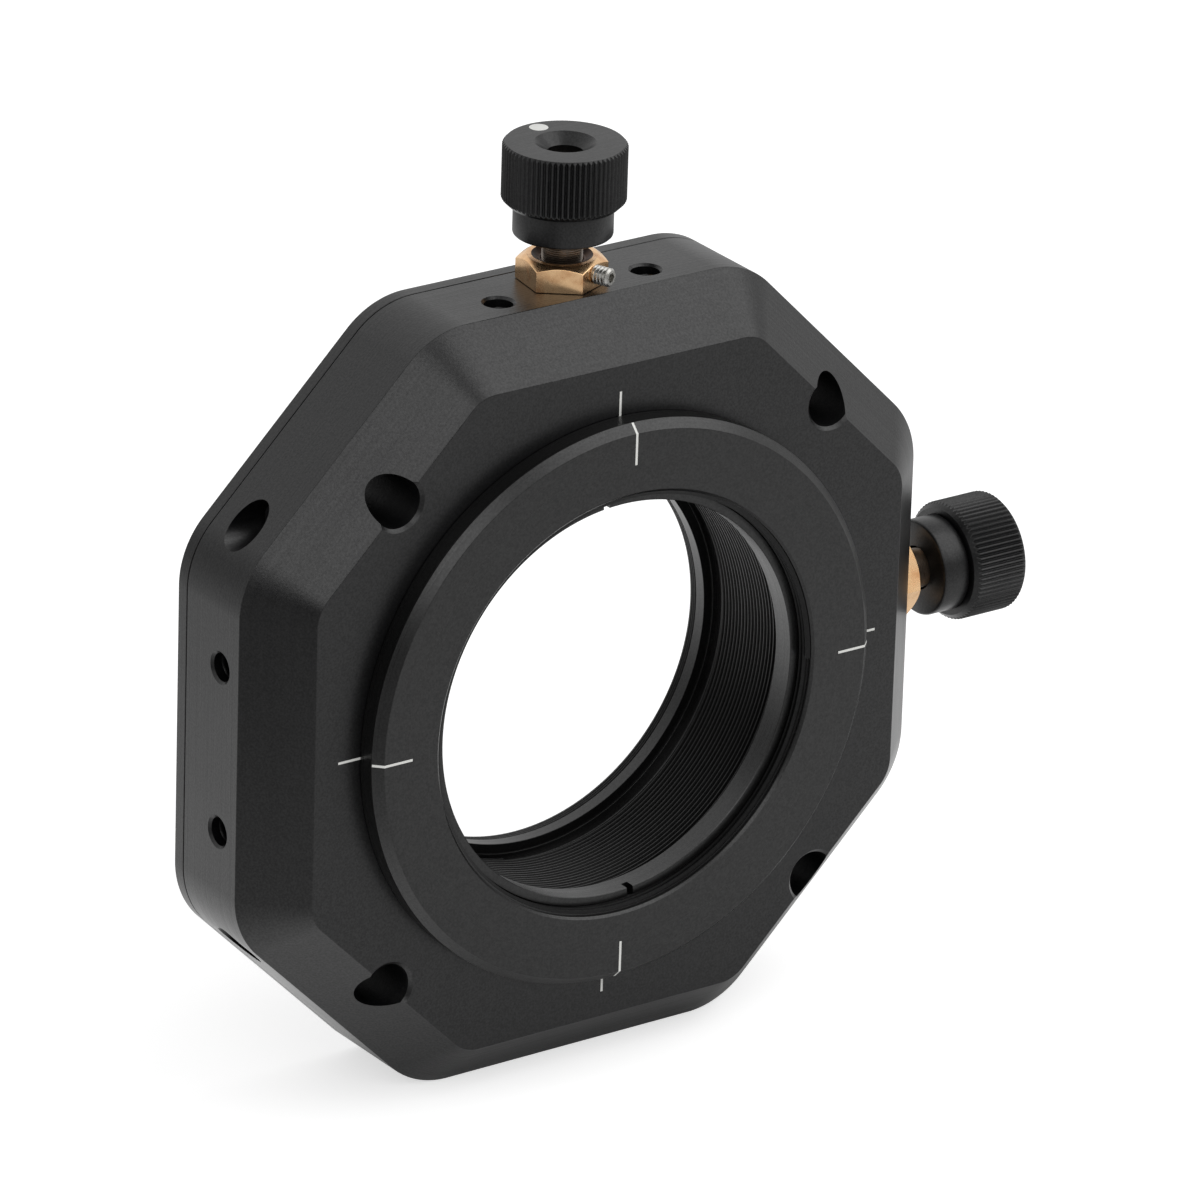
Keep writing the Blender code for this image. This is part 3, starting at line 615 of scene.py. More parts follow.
# %% The cover and its screws
COVER_WINDOW = 30.0
COVER_SCREW_ANGLE = 22.5
COVER_SCREW_RADIUS = 1.25
COVER_SCREW_HEAD = 2.2
COVER_SCREW_LENGTH = 5.5
COVER_SCREW_SOCKET = 1.5
SINK_PLAY = 0.15
COVER_LAP = 0.5

cover_profile = eased(
    [
        (COVER_LAP, cover_front),
        (0, cover_front, SEAM_BREAK),
        (0, body_rear, EDGE_BREAK),
        (COVER_LAP, body_rear),
    ]
)
cover = to_object("rear_cover_plate", moved(loft([octagon(i, d) for i, d in cover_profile]), along_depth()))
window_profile = [
    (COVER_WINDOW, cover_front - ABOVE),
    (COVER_WINDOW, body_rear - EDGE_BREAK),
    (COVER_WINDOW + EDGE_BREAK + ABOVE, body_rear + ABOVE),
]
drill(cover, window_profile, optical_axis, BORE_ROUND)
drill(cover, rod_profile, rod_places)

rim_middle = (CAVITY_RADIUS + flat) / 2
screw_angles = [radians(COVER_SCREW_ANGLE + 90 * number) for number in range(4)]
cover_screw_places = [along_depth(rim_middle * cos(a), rim_middle * sin(a)) for a in screw_angles]
sink = COVER_SCREW_HEAD + SINK_PLAY
neck = body_rear - (sink - COVER_SCREW_RADIUS)
sink_profile = [
    (COVER_SCREW_RADIUS + SINK_PLAY, cover_front - ABOVE),
    (COVER_SCREW_RADIUS + SINK_PLAY, neck + SINK_PLAY),
    (sink, body_rear),
    (sink, body_rear + ABOVE),
]
drill(cover, sink_profile, cover_screw_places)
finished(cover, body_black, "body", ["rear_cover"])

# %% [markdown]
# ## A thread, once, for every screw
# A thread is a ridge wound round a cylinder. One tree of Geometry Nodes winds a helix, gives it
# a pointed section and hands back a mesh. The same tree cuts the 0.635 mm thread inside the cell,
# the 0.254 mm thread of the adjusters and the coarse ones of the small screws, because only the
# numbers change. The foot of the section is buried a little in the metal that carries it.

# %% The tree that winds a thread


def start_tree(name, sizes):
    """A geometry tree with named number inputs and its output."""
    tree = bpy.data.node_groups.new(name, "GeometryNodeTree")
    tree.interface.new_socket("Geometry", in_out="INPUT", socket_type="NodeSocketGeometry")
    for size, kind in sizes.items():
        tree.interface.new_socket(size, in_out="INPUT", socket_type=kind)
    tree.interface.new_socket("Material", in_out="INPUT", socket_type="NodeSocketMaterial")
    tree.interface.new_socket("Geometry", in_out="OUTPUT", socket_type="NodeSocketGeometry")
    given = add_node(tree, "NodeGroupInput").outputs
    return tree, given


def end_tree(tree, geometry, given):
    real = add_node(tree, "GeometryNodeRealizeInstances", {"Geometry": geometry})
    coated = add_node(
        tree, "GeometryNodeSetMaterial", {"Geometry": real.outputs[0], "Material": given["Material"]}
    )
    add_node(tree, "NodeGroupOutput", {"Geometry": coated.outputs[0]})
    print(tree.name, "has", len(tree.nodes), "nodes")


def run_tree(piece, tree, material, **values):
    """Runs a tree on a piece with the given sizes, and leaves a plain mesh."""
    modifier = piece.modifiers.new(tree.name, "NODES")
    modifier.node_group = tree
    values["Material"] = material
    for socket in tree.interface.items_tree:
        if socket.in_out == "INPUT" and socket.name.replace(" ", "_") in values:
            modifier[socket.identifier] = values[socket.name.replace(" ", "_")]
    return settled(piece)


NUMBER = "NodeSocketFloat"
WHOLE = "NodeSocketInt"
BURIED = 0.2
sizes = dict.fromkeys(("Radius", "Depth", "Pitch", "Crest", "Turns"), NUMBER)
thread_tree, given = start_tree("Thread", sizes | {"Steps per turn": WHOLE})
made = {}
# The section's own X points at the axis of the helix, so the crest is at minus the depth
for name, size, factor in (
    ("rise", "Pitch", given["Turns"]),
    ("root half", "Pitch", 0.5),
    ("crest half", "Crest", 0.5),
    ("crest", "Depth", -1.0),
    ("root", "Depth", BURIED),
):
    product = add_node(thread_tree, "ShaderNodeMath", {0: given[size], 1: factor}, operation="MULTIPLY")
    made[name] = product.outputs[0]
spiral = {"Resolution": given["Steps per turn"], "Rotations": given["Turns"], "Height": made["rise"]}
spiral |= {"Start Radius": given["Radius"], "End Radius": given["Radius"]}
helix = add_node(thread_tree, "GeometryNodeCurveSpiral", spiral)
level = add_node(thread_tree, "GeometryNodeSetCurveNormal", {"Curve": helix.outputs[0]}, mode="Z_UP")
section_points = {}
for number, (across, side) in enumerate((("crest", 1), ("crest", -1), ("root", -1), ("root", 1)), 1):
    half = {0: made[across + " half"], 1: side}
    y = add_node(thread_tree, "ShaderNodeMath", half, operation="MULTIPLY").outputs[0]
    point = add_node(thread_tree, "ShaderNodeCombineXYZ", {"X": made[across], "Y": y}).outputs[0]
    section_points[f"Point {number}"] = point
section = add_node(thread_tree, "GeometryNodeCurvePrimitiveQuadrilateral", section_points, mode="POINTS")
swept = {"Curve": level.outputs[0], "Profile Curve": section.outputs[0], "Fill Caps": True}
ridge = add_node(thread_tree, "GeometryNodeCurveToMesh", swept)
end_tree(thread_tree, ridge.outputs[0], given)


def thread(name, radius, depth, pitch, start, end, steps, material, crest=0.15):
    """A ridge wound about local Z from one height to another; a negative depth points inwards."""
    piece = to_object(name, bmesh.new())
    run_tree(
        piece,
        thread_tree,
        material,
        Radius=radius,
        Depth=depth,
        Pitch=pitch,
        Crest=crest * pitch,
        Turns=(end - start) / pitch,
        Steps_per_turn=steps,
    )
    shape = bmesh.new()
    shape.from_mesh(piece.data)
    bmesh.ops.translate(shape, vec=(0, 0, start), verts=shape.verts)
    bmesh.ops.recalc_face_normals(shape, faces=shape.faces)
    shape.to_mesh(piece.data)
    shape.free()
    return piece


# %% [markdown]
# ## Copies of one screw
# Four cover screws, four set screws and eight tapped holes are each one shape put in several
# places. A second tree puts a shape on every point of a cloud, turned as that point says.

# %% The tree that sets copies
copy_tree, given = start_tree("Copies", {"Shape": "NodeSocketObject"})
shape_info = add_node(copy_tree, "GeometryNodeObjectInfo", {"Object": given["Shape"]})
turn = add_node(copy_tree, "GeometryNodeInputNamedAttribute", {"Name": "turn"}, data_type="QUATERNION")
copies = add_node(
    copy_tree,
    "GeometryNodeInstanceOnPoints",
    {
        "Points": given["Geometry"],
        "Instance": shape_info.outputs["Geometry"],
        "Rotation": turn.outputs["Attribute"],
    },
)
end_tree(copy_tree, copies.outputs[0], given)


def set_copies(name, shape, places, material):
    """One mesh with the shape at every placing; the single shape is then thrown away."""
    cloud = bmesh.new()
    for place in places:
        cloud.verts.new(place.translation)
    piece = to_object(name, cloud)
    turns = piece.data.attributes.new("turn", "QUATERNION", "POINT")
    for record, place in zip(turns.data, places):
        record.value = place.to_quaternion()
    run_tree(piece, copy_tree, material, Shape=shape)
    bpy.data.objects.remove(shape)
    return piece


# %% [markdown]
# ## The small screws
# A set screw is a threaded stub with a hexagon socket, and the cover's screws are countersunk.
# The socket is sunk into the end by going on with the same loft, inwards and then down.

# %% Cover screws, set screws and tapped threads
SMALL_ROUND = 96
METRIC_DEPTH = 0.54
SOCKET_DEPTH = 0.9
LOCK_SCREW_SHRINK = 0.02
LOCK_SOCKET = 1.5
LOCK_PITCH = 0.7
HEAD_EDGE = 0.05
THREAD_STEPS = 48
THREAD_BACK = 0.02


def socketed(profile, socket, depth):
    """A turned core, a profile of (radius, height) points, with a hexagon socket sunk into its end."""
    end = profile[-1][1]
    loops = [circle(r, h, SMALL_ROUND) for r, h in profile]
    return loft(loops + [hexagon(socket, h, SMALL_ROUND) for h in (end, end - depth)])


def socket_screw(name, radius, foot, head, socket, material, pitch, edge=0.2):
    """A headless screw: a core with a socket in its end and a ridge wound round it."""
    root = radius - METRIC_DEPTH * pitch
    profile = [
        (root - edge, foot),
        (root, foot + edge),
        (root, head - edge - pitch / 2),
        (radius, head - edge),
        (radius - edge, head),
    ]
    body = to_object(name + "_core", socketed(profile, socket, socket * SOCKET_DEPTH))
    body.data.materials.append(material)
    start, end = foot + edge, head - edge - pitch / 4
    return body, thread(name + "_ridge", root, radius - root, pitch, start, end, THREAD_STEPS, material)


def as_one(name, pieces):
    """The pieces' meshes in one object, their own objects removed."""
    whole = bmesh.new()
    for piece in pieces:
        whole.from_mesh(piece.data)
        bpy.data.objects.remove(piece)
    return to_object(name, whole)


lock_radius = LOCK_SCREW_RADIUS - LOCK_SCREW_SHRINK
lock_head = LOCK_SCREW_FOOT + LOCK_SCREW_LENGTH
lock_parts = socket_screw(
    "lock", lock_radius, LOCK_SCREW_FOOT, lock_head, LOCK_SOCKET, oxide_steel, LOCK_PITCH
)
lock_screw = as_one("lock_screw", lock_parts)
lock_screws = set_copies("rod_lock_screws", lock_screw, lock_places, oxide_steel)
replaced = [f"rod_lock_screw_{n}" for n in range(1, 5)]
finished(lock_screws, oxide_steel, "body", replaced, weighted=False)

cover_screw_profile = [
    (COVER_SCREW_RADIUS, body_rear - COVER_SCREW_LENGTH),
    (COVER_SCREW_RADIUS, neck),
    (COVER_SCREW_HEAD, body_rear - 2 * HEAD_EDGE),
    (COVER_SCREW_HEAD - HEAD_EDGE, body_rear - HEAD_EDGE),
]
cover_core = socketed(cover_screw_profile, COVER_SCREW_SOCKET, COVER_SCREW_SOCKET - HEAD_EDGE)
cover_screw = to_object("cover_screw", cover_core)
cover_screws = set_copies("cover_screws", cover_screw, cover_screw_places, oxide_steel)
replaced = [f"cover_screw_{n}" for n in range(1, 5)]
finished(cover_screws, oxide_steel, "body", replaced, weighted=False)

TAPPED_THREAD_DEPTH = 0.14
TAPPED_PITCH = 0.7
TAPPED_THREAD_FOOT = 0.3
TAPPED_THREAD_MOUTH = 1.0
tapped_thread = thread(
    "tapped_thread",
    TAPPED_RADIUS + THREAD_BACK,
    -TAPPED_THREAD_DEPTH,
    TAPPED_PITCH,
    -TAPPED_LENGTH + TAPPED_THREAD_FOOT,
    -TAPPED_COUNTERSINK - TAPPED_THREAD_MOUTH,
    THREAD_STEPS,
    body_black,
)
tapped_threads = set_copies("tapped_hole_threads", tapped_thread, tapped_places, body_black)
finished(tapped_threads, body_black, "body", weighted=False)

# %% [markdown]
# ## The lens cell
# The cell is a threaded tube with a wide flat face. It is one turned profile, followed from the
# mouth round the outside to the lip at the back, and a thread wound on the inside of the bore.

# %% The turned cell
CELL_ROUND = 256
PAINT = 0.012
THREAD_RADIUS = 25.85
THREAD_DEPTH = 0.4
THREAD_CREST = 0.24
CELL_PITCH = 0.635
NECK_RADIUS = 29.3
SEAT_RADIUS = 28.3
CLEAR_RADIUS = 24.3
RIM_CHAMFER = 1.05
MOUTH_STEP = 0.22
MOUTH_CHAMFER = 0.28
MOUTH_DEPTH = 0.6
DISC_GAP = 0.08
LIP_FRONT = 15.6
LIP_REAR = 17.4
LIP_STEP = 0.1
LIP_SEAT_RADIUS = 25.45
LIP_SEAT_DEPTH = 0.2
LIP_GROOVES = (18.35, 18.0, 17.65)
LIP_GROOVE = 0.15
UNDERCUT = 1.2
UNDERCUT_DEPTH = 0.35
THREAD_END_RING = 0.12
THREAD_END_LENGTH = 0.3
NECK_REAR = 8.3

# Three fine grooves run round the wall behind the lip
rear_radius = CLEAR_RADIUS + LIP_STEP
rear_wall = []
for groove in LIP_GROOVES:
    rear_wall += [
        (rear_radius, groove + LIP_GROOVE),
        (rear_radius + 2 * LIP_GROOVE, groove),
        (rear_radius, groove - LIP_GROOVE),
    ]

face = cell_low.y - front_y + PAINT
face_radius = cell_high.x
cell_rear = cell_high.y - front_y
thread_end = LIP_FRONT - UNDERCUT - THREAD_END_LENGTH
cell_profile = eased(
    [
        (THREAD_RADIUS + MOUTH_STEP, face + MOUTH_CHAMFER),
        (THREAD_RADIUS + MOUTH_STEP + MOUTH_CHAMFER, face, 0.05),
        (face_radius - RIM_CHAMFER, face, 0.14),
        (face_radius, face + RIM_CHAMFER, 0.12),
        (face_radius, -DISC_GAP, 0.1),
        (NECK_RADIUS, -DISC_GAP),
        (NECK_RADIUS, NECK_REAR),
        (SEAT_RADIUS, NECK_REAR),
        (SEAT_RADIUS, cell_rear, 0.2),
        (rear_radius, cell_rear, 0.15),
        *rear_wall,
        (rear_radius, LIP_REAR),
        (CLEAR_RADIUS, LIP_REAR, 0.08),
        (CLEAR_RADIUS, LIP_FRONT + LIP_SEAT_DEPTH, 0.06),
        (LIP_SEAT_RADIUS, LIP_FRONT + LIP_SEAT_DEPTH),
        (LIP_SEAT_RADIUS, LIP_FRONT, 0.05),
        (THREAD_RADIUS + UNDERCUT_DEPTH, LIP_FRONT),
        (THREAD_RADIUS + UNDERCUT_DEPTH, LIP_FRONT - UNDERCUT),
        (THREAD_RADIUS - THREAD_END_RING, LIP_FRONT - UNDERCUT, 0.08),
        (THREAD_RADIUS - THREAD_END_RING, thread_end, 0.05),
        (THREAD_RADIUS, thread_end),
        (THREAD_RADIUS, face + MOUTH_DEPTH),
        (THREAD_RADIUS + MOUTH_STEP, face + MOUTH_DEPTH),
    ],
    closed=True,
)
cell = to_object("lens_cell_turned", moved(turned(cell_profile, CELL_ROUND), along_depth()))
finished(cell, cell_black, "stage", ["lens_cell"])

cell_thread = thread(
    "lens_cell_thread",
    THREAD_RADIUS + THREAD_BACK,
    -THREAD_DEPTH,
    CELL_PITCH,
    face + MOUTH_DEPTH,
    thread_end,
    CELL_ROUND,
    thread_black,
    crest=THREAD_CREST,
)
cell_thread.data.transform(along_depth())
finished(cell_thread, thread_black, "stage", weighted=False)

# %% [markdown]
# The ring that holds a lens in the cell has two slots for a spanner.

# %% The retaining ring
SPANNER_ANGLE = 95.8
SPANNER_WIDTH = 0.85
SPANNER_DEPTH = 1.2
RING_BEVEL = 0.08

ring_front = ring_low.y - front_y
ring_rear = ring_high.y - front_y
ring_outer = THREAD_RADIUS - THREAD_DEPTH
ring_profile = eased(
    [
        (CLEAR_RADIUS, ring_front + RING_BEVEL),
        (CLEAR_RADIUS + RING_BEVEL, ring_front),
        (ring_outer, ring_front, 0.12),
        (ring_outer, ring_rear),
        (CLEAR_RADIUS, ring_rear, 0.1),
    ],
    closed=True,
)
ring = to_object("retaining_ring_turned", moved(turned(ring_profile, CELL_ROUND), along_depth()))
slot_size = (2 * (ring_outer + ABOVE), SPANNER_WIDTH, 2 * SPANNER_DEPTH)
slot_turn = Matrix.Rotation(-radians(SPANNER_ANGLE), 4, "Z")
cut(ring, moved(block(slot_size, (0, 0, ring_front)), along_depth() @ slot_turn))
finished(ring, cell_black, "stage", ["retaining_ring"])

# %% [markdown]
# ## The centring marks
# Four lines on the cell stand against four lines on the body, and they meet when the lens is
# centred. Each line is a sliver of enamel that follows the face and its chamfer, set once and
# then copied round by the tree.

# %% Enamel lines
MARK_WIDTH = 0.3
CELL_MARK_START = 29.78
BODY_MARK_START = 33.0
BODY_MARK_END = 37.57
MARK_SUNK = 0.1
MARK_INSET = 0.02


def sliver(name, profile):
    """A thin line along a profile of (radius, depth) points, just proud of the face below it."""
    half = MARK_WIDTH / 2
    section = ((half, PAINT), (-half, PAINT), (-half, -MARK_SUNK), (half, -MARK_SUNK))
    # A chamfered point is lifted forwards only, which is enough at this thickness
    loops = [[Vector((radius, side, depth - lift)) for side, lift in section] for radius, depth in profile]
    return to_object(name, loft(loops))


quarter_turns = [along_depth() @ Matrix.Rotation(radians(90 * n), 4, "Z") for n in range(4)]
chamfer_start = (face_radius - RIM_CHAMFER, face)
chamfer_end = (face_radius - MARK_INSET, face + RIM_CHAMFER - MARK_INSET)
cell_line = sliver("cell_line", [(CELL_MARK_START, face), chamfer_start, chamfer_end])
cell_marks = set_copies("cell_mark_lines", cell_line, quarter_turns, enamel)
finished(cell_marks, enamel, "stage", weighted=False)
body_line = sliver("body_line", [(BODY_MARK_START, 0), (BODY_MARK_END, 0)])
body_marks = set_copies("housing_mark_lines", body_line, quarter_turns, enamel)
finished(body_marks, enamel, "body", weighted=False)

# %% [markdown]
# ## The knobs
# A knob is turned, and its grip is pressed with straight flutes. Drawing each flute would be slow
# and dull, so the profile is turned with many points round and a third tree pulls points in by a
# wave of the angle. A point nearer the axis than the wave's floor stays, so the flutes run out on
# the bevels by themselves, as they do on the real knob.

# %% The tree that presses flutes
flute_tree, given = start_tree("Flutes", {"Count": WHOLE, "Radius": NUMBER, "Depth": NUMBER})
position = add_node(flute_tree, "GeometryNodeInputPosition").outputs[0]
parts = add_node(flute_tree, "ShaderNodeSeparateXYZ", {0: position}).outputs
flat_place = add_node(flute_tree, "ShaderNodeCombineXYZ", {"X": parts["X"], "Y": parts["Y"]}).outputs[0]
reach = add_node(flute_tree, "ShaderNodeVectorMath", {0: flat_place}, operation="LENGTH").outputs["Value"]
made = {"x": parts["X"], "y": parts["Y"], "reach": reach}
made |= {size.lower(): given[size] for size in ("Count", "Radius", "Depth")}
# Each step's inputs are numbers or the names of what was made before it
for name, operation, *inputs in (
    ("angle", "ARCTAN2", "y", "x"),
    ("waves", "MULTIPLY", "angle", "count"),
    ("crest", "COSINE", "waves"),
    ("hollow", "MULTIPLY_ADD", "crest", -0.5, 0.5),
    ("pressed", "MULTIPLY", "hollow", "depth"),
    ("limit", "SUBTRACT", "radius", "pressed"),
    ("kept", "MINIMUM", "reach", "limit"),
    ("ratio", "DIVIDE", "kept", "reach"),
):
    sockets = {place: made.get(value, value) for place, value in enumerate(inputs)}
    made[name] = add_node(flute_tree, "ShaderNodeMath", sockets, operation=operation).outputs[0]
scales = {"X": made["ratio"], "Y": made["ratio"], "Z": 1.0}
scales = add_node(flute_tree, "ShaderNodeCombineXYZ", scales).outputs[0]
pulled = add_node(flute_tree, "ShaderNodeVectorMath", {0: position, 1: scales}, operation="MULTIPLY")
moved_points = {"Geometry": given["Geometry"], "Position": pulled.outputs[0]}
fluted = add_node(flute_tree, "GeometryNodeSetPosition", moved_points).outputs[0]
end_tree(flute_tree, fluted, given)

# %% The knob itself
FLUTES = 70
POINTS_PER_FLUTE = 10
FLUTE_DEPTH = 0.32
KNOB_RADIUS = 7.2
SHOULDER_RADIUS = 5.79
KNURL_HEIGHT = 7.35
KNURL_BEVEL = 0.7
BEVEL_STEPS = 10
GROOVE_WIDTH = 0.22
GROOVE_DEPTH = 0.35
TOP_BEVEL = 0.35
RECESS_RADIUS = 3.55
RECESS_DEPTH = 1.2
BORE_RADIUS = 2.1
DOT_RADIUS = 1.1
DOT_PLACE = 5.35
DOT_EDGE = 0.05
DOT_ROUND = 48
BORE_FLOOR = 0.05
SCREW_RADIUS = 2.38
SCREW_END_DEPTH = 2.5

top = knob_top - PAINT
knurl_foot = knob_top - KNURL_HEIGHT
screw_end = knob_top - SCREW_END_DEPTH
knob_profile = eased(
    [
        (SCREW_RADIUS + CLEARANCE, knob_foot),
        (SHOULDER_RADIUS, knob_foot, 0.3),
        (SHOULDER_RADIUS, knurl_foot - GROOVE_WIDTH, 0.06),
        (SHOULDER_RADIUS - GROOVE_DEPTH, knurl_foot - GROOVE_WIDTH),
        (SHOULDER_RADIUS - GROOVE_DEPTH, knurl_foot),
    ]
)
for step in range(BEVEL_STEPS + 1):
    climb = KNURL_BEVEL * step / BEVEL_STEPS
    knob_profile.append((KNOB_RADIUS - KNURL_BEVEL + climb, knurl_foot + climb))
for step in range(BEVEL_STEPS + 1):
    climb = TOP_BEVEL * step / BEVEL_STEPS
    knob_profile.append((KNOB_RADIUS - climb, top - TOP_BEVEL + climb))
knob_profile += [
    (RECESS_RADIUS, top),
    (BORE_RADIUS, top - RECESS_DEPTH),
    (BORE_RADIUS, screw_end + BORE_FLOOR),
    (SCREW_RADIUS + CLEARANCE, screw_end + BORE_FLOOR),
]

for axis, angle in ADJUSTERS.items():
    knob = to_object(f"{axis}_knob_fluted", turned(knob_profile, FLUTES * POINTS_PER_FLUTE))
    run_tree(knob, flute_tree, knob_black, Count=FLUTES, Radius=KNOB_RADIUS, Depth=FLUTE_DEPTH)
    knob.data.transform(outward(angle))
    finished(knob, knob_black, f"{axis}_adjuster", [f"{axis}_knob"], weighted=False)
    dot_profile = [(DOT_RADIUS, top - MARK_SUNK), (DOT_RADIUS, top), (DOT_RADIUS - DOT_EDGE, top + PAINT)]
    dot_place = outward(angle) @ Matrix.Translation((DOT_PLACE, 0, 0))
    dot = to_object(f"{axis}_knob_dot", moved(rod(dot_profile, DOT_ROUND), dot_place))
    finished(dot, enamel, f"{axis}_adjuster", weighted=False)

# %% [markdown]
# ## The adjuster screws
# Only two and a half millimetres of each screw show, between the bushing and the knob, but its
# thread is what makes the mount fine: a hundred turns move the stage an inch.

# %% Fine-threaded screws
FINE_PITCH = 0.254
FINE_DEPTH = 0.15
screw_tip = corners("z_adjuster_screw")[0].z - axis_up
BALL_POCKET = 1.8
POCKET_DEPTH = 1.3
SCREW_SOCKET = 2.0
SCREW_EDGE = 0.1
FINE_STEPS = 64
FINE_START = 0.3
FINE_IN_KNOB = 2.5

root = SCREW_RADIUS - FINE_DEPTH
fine_start, fine_end = screw_tip + FINE_START, knob_foot + FINE_IN_KNOB
screw_profile = [
    (BALL_POCKET, screw_tip + POCKET_DEPTH),
    (BALL_POCKET, screw_tip),
    (root - SCREW_EDGE, screw_tip),
    (root, screw_tip + SCREW_EDGE),
    (root, screw_end),
]
for axis, angle in ADJUSTERS.items():
    core = to_object("core", socketed(screw_profile, SCREW_SOCKET, SCREW_SOCKET))
    ridge = thread(
        f"{axis}_ridge", root, FINE_DEPTH, FINE_PITCH, fine_start, fine_end, FINE_STEPS, screw_steel
    )
    screw = as_one(f"{axis}_adjuster_screw_threaded", [core, ridge])
    screw.data.transform(outward(angle))
    replaced = [f"{axis}_adjuster_screw"]
    finished(screw, screw_steel, f"{axis}_adjuster", replaced, weighted=False)

# %% [markdown]
# ## The bronze bushings
# Each adjuster runs in a bronze nut with six flats, screwed into the body. A lathe bevelled its
# top first, which is why the bevel meets every flat in an arc. The loft gets the arcs by lowering
# each point of the hexagon by how far it stands outside the top circle.

# %% Hexagons with a turned bevel
HEX_ROUND = 144
HEX_FLATS = 9.2
HEX_TOP_RADIUS = 4.14
HEX_SLOPE = tan(radians(32))
DISH_RADIUS = 3.55
DISH_DEPTH = 0.5
BUSHING_EDGE = 0.05
BUSHING_PLAY = 0.03
HEX_FOOT_BREAK = 0.06
HEX_ARC = 0.02
SCREW_PLAY = 0.12
DISH_FLOOR = 0.25
CLAMP_ANGLE = {"z": -157.6, "x": -87.0}


def bevelled_hexagon(across_flats, drop, count):
    """A hexagonal loop that sinks as it leaves the circle of the top, and by a drop besides."""
    loop = []
    for point in hexagon(across_flats, hex_top, count):
        sunk = (point.xy.length - HEX_TOP_RADIUS) * HEX_SLOPE + drop
        loop.append(Vector((point.x, point.y, hex_top - sunk)))
    return loop


for axis, angle in ADJUSTERS.items():
    placing = outward(angle) @ Matrix.Rotation(radians(CLAMP_ANGLE[axis]), 4, "Z")
    bore = SCREW_RADIUS + SCREW_PLAY
    foot = CAVITY_RADIUS + CLEARANCE
    barrel = BUSHING_BARREL - BUSHING_PLAY
    seat = flat + BUSHING_PLAY
    dish = hex_top - DISH_DEPTH
    loops = [circle(r, h, HEX_ROUND) for r, h in ((bore, foot), (barrel, foot), (barrel, seat))]
    loops += [
        hexagon(HEX_FLATS - 2 * HEX_FOOT_BREAK, seat, HEX_ROUND),
        hexagon(HEX_FLATS, seat + HEX_FOOT_BREAK, HEX_ROUND),
        bevelled_hexagon(HEX_FLATS, BUSHING_EDGE, HEX_ROUND),
        bevelled_hexagon(HEX_FLATS - 2 * BUSHING_EDGE, 0, HEX_ROUND),
        circle(HEX_TOP_RADIUS + HEX_ARC, hex_top - HEX_ARC, HEX_ROUND),
        circle(HEX_TOP_RADIUS - BUSHING_EDGE, hex_top, HEX_ROUND),
        circle(DISH_RADIUS, hex_top, HEX_ROUND),
        circle(bore + DISH_FLOOR, dish, HEX_ROUND),
        circle(bore, dish, HEX_ROUND),
    ]
    bushing = to_object(f"{axis}_bushing_hexagon", moved(loft(loops, closed=True), placing))
    finished(bushing, bronze, "body", [f"{axis}_bushing"])
    # The dish lies under the knob, so its faces take a dark bronze that paints the knob's shade on it
    bushing.data.materials.append(bronze_painted_shade)
    to_local = placing.inverted()
    for polygon in bushing.data.polygons:
        seen_from_bushing = to_local @ (polygon.center / MM)
        if seen_from_bushing.xy.length < DISH_RADIUS and seen_from_bushing.z > hex_top - DISH_DEPTH - PAINT:
            polygon.material_index = 1

# %% [markdown]
# A small bright screw goes in through one flat and clamps the fine thread once it is set.

# %% Clamp screws
CLAMP_RADIUS = 1.1
CLAMP_STAND_OUT = 2.1
CLAMP_PITCH = 0.45
CLAMP_SOCKET = 1.05
CLAMP_EDGE = 0.22

for axis, angle in ADJUSTERS.items():
    placing = outward(angle) @ Matrix.Rotation(radians(CLAMP_ANGLE[axis]), 4, "Z")
    middle = (flat + hex_top) / 2 + CLEARANCE / 2
    placing = placing @ frame_of(Vector((0, 0, middle)), Vector((1, 0, 0)), Vector((0, 0, 1)))
    foot, head = SCREW_RADIUS + 2 * CLEARANCE, HEX_FLATS / 2 + CLAMP_STAND_OUT
    parts = socket_screw(
        f"{axis}_clamp", CLAMP_RADIUS, foot, head, CLAMP_SOCKET, steel, CLAMP_PITCH, edge=CLAMP_EDGE
    )
    clamp = as_one(f"{axis}_clamp_screw", parts)
    clamp.data.transform(placing)
    finished(clamp, steel, "body", [f"{axis}_bushing_screw"], weighted=False)

# %% [markdown]
# ## What stays as it was packed
# The cross slide, the drive ring with its screws, the glide ring, the pads, balls, plungers and
# springs are inside, and their solids already have the right shape. They only get materials.

# %% Materials for the inner pieces
INNER = {"cross_slide": steel, "drive_ring": cell_black, "glide_ring": acetal}
INNER |= {f"cell_screw_{number}": oxide_steel for number in range(1, 5)}
for axis in ADJUSTERS:
    INNER |= {f"{axis}_{name}": steel for name in ("contact_pad", "thrust_ball", "plunger", "return_spring")}
for name, material in INNER.items():
    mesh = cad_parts[name].data
    mesh.materials.clear()
    mesh.materials.append(material)
print("dressed inside:", len(INNER))

# %% [markdown]
# ## The studio
# The mount stands on pale paper with a white sheet behind it. One large soft lamp above on the
# right and a smaller one on the left model its faces. Black metal shows little of its own colour
# and much of what it mirrors, so painted reflections on the paper and the sheet matter as much: a
# dim glow in front, a bright glow behind, a glow at the lower left corner, a grey strip on the
# left and two dark patches. Only mirror-like rays see these. The level is plain: a grey card
# would look as grey as it is.

# %% The paper
scene = bpy.context.scene
scene.view_settings.view_transform = "Standard"

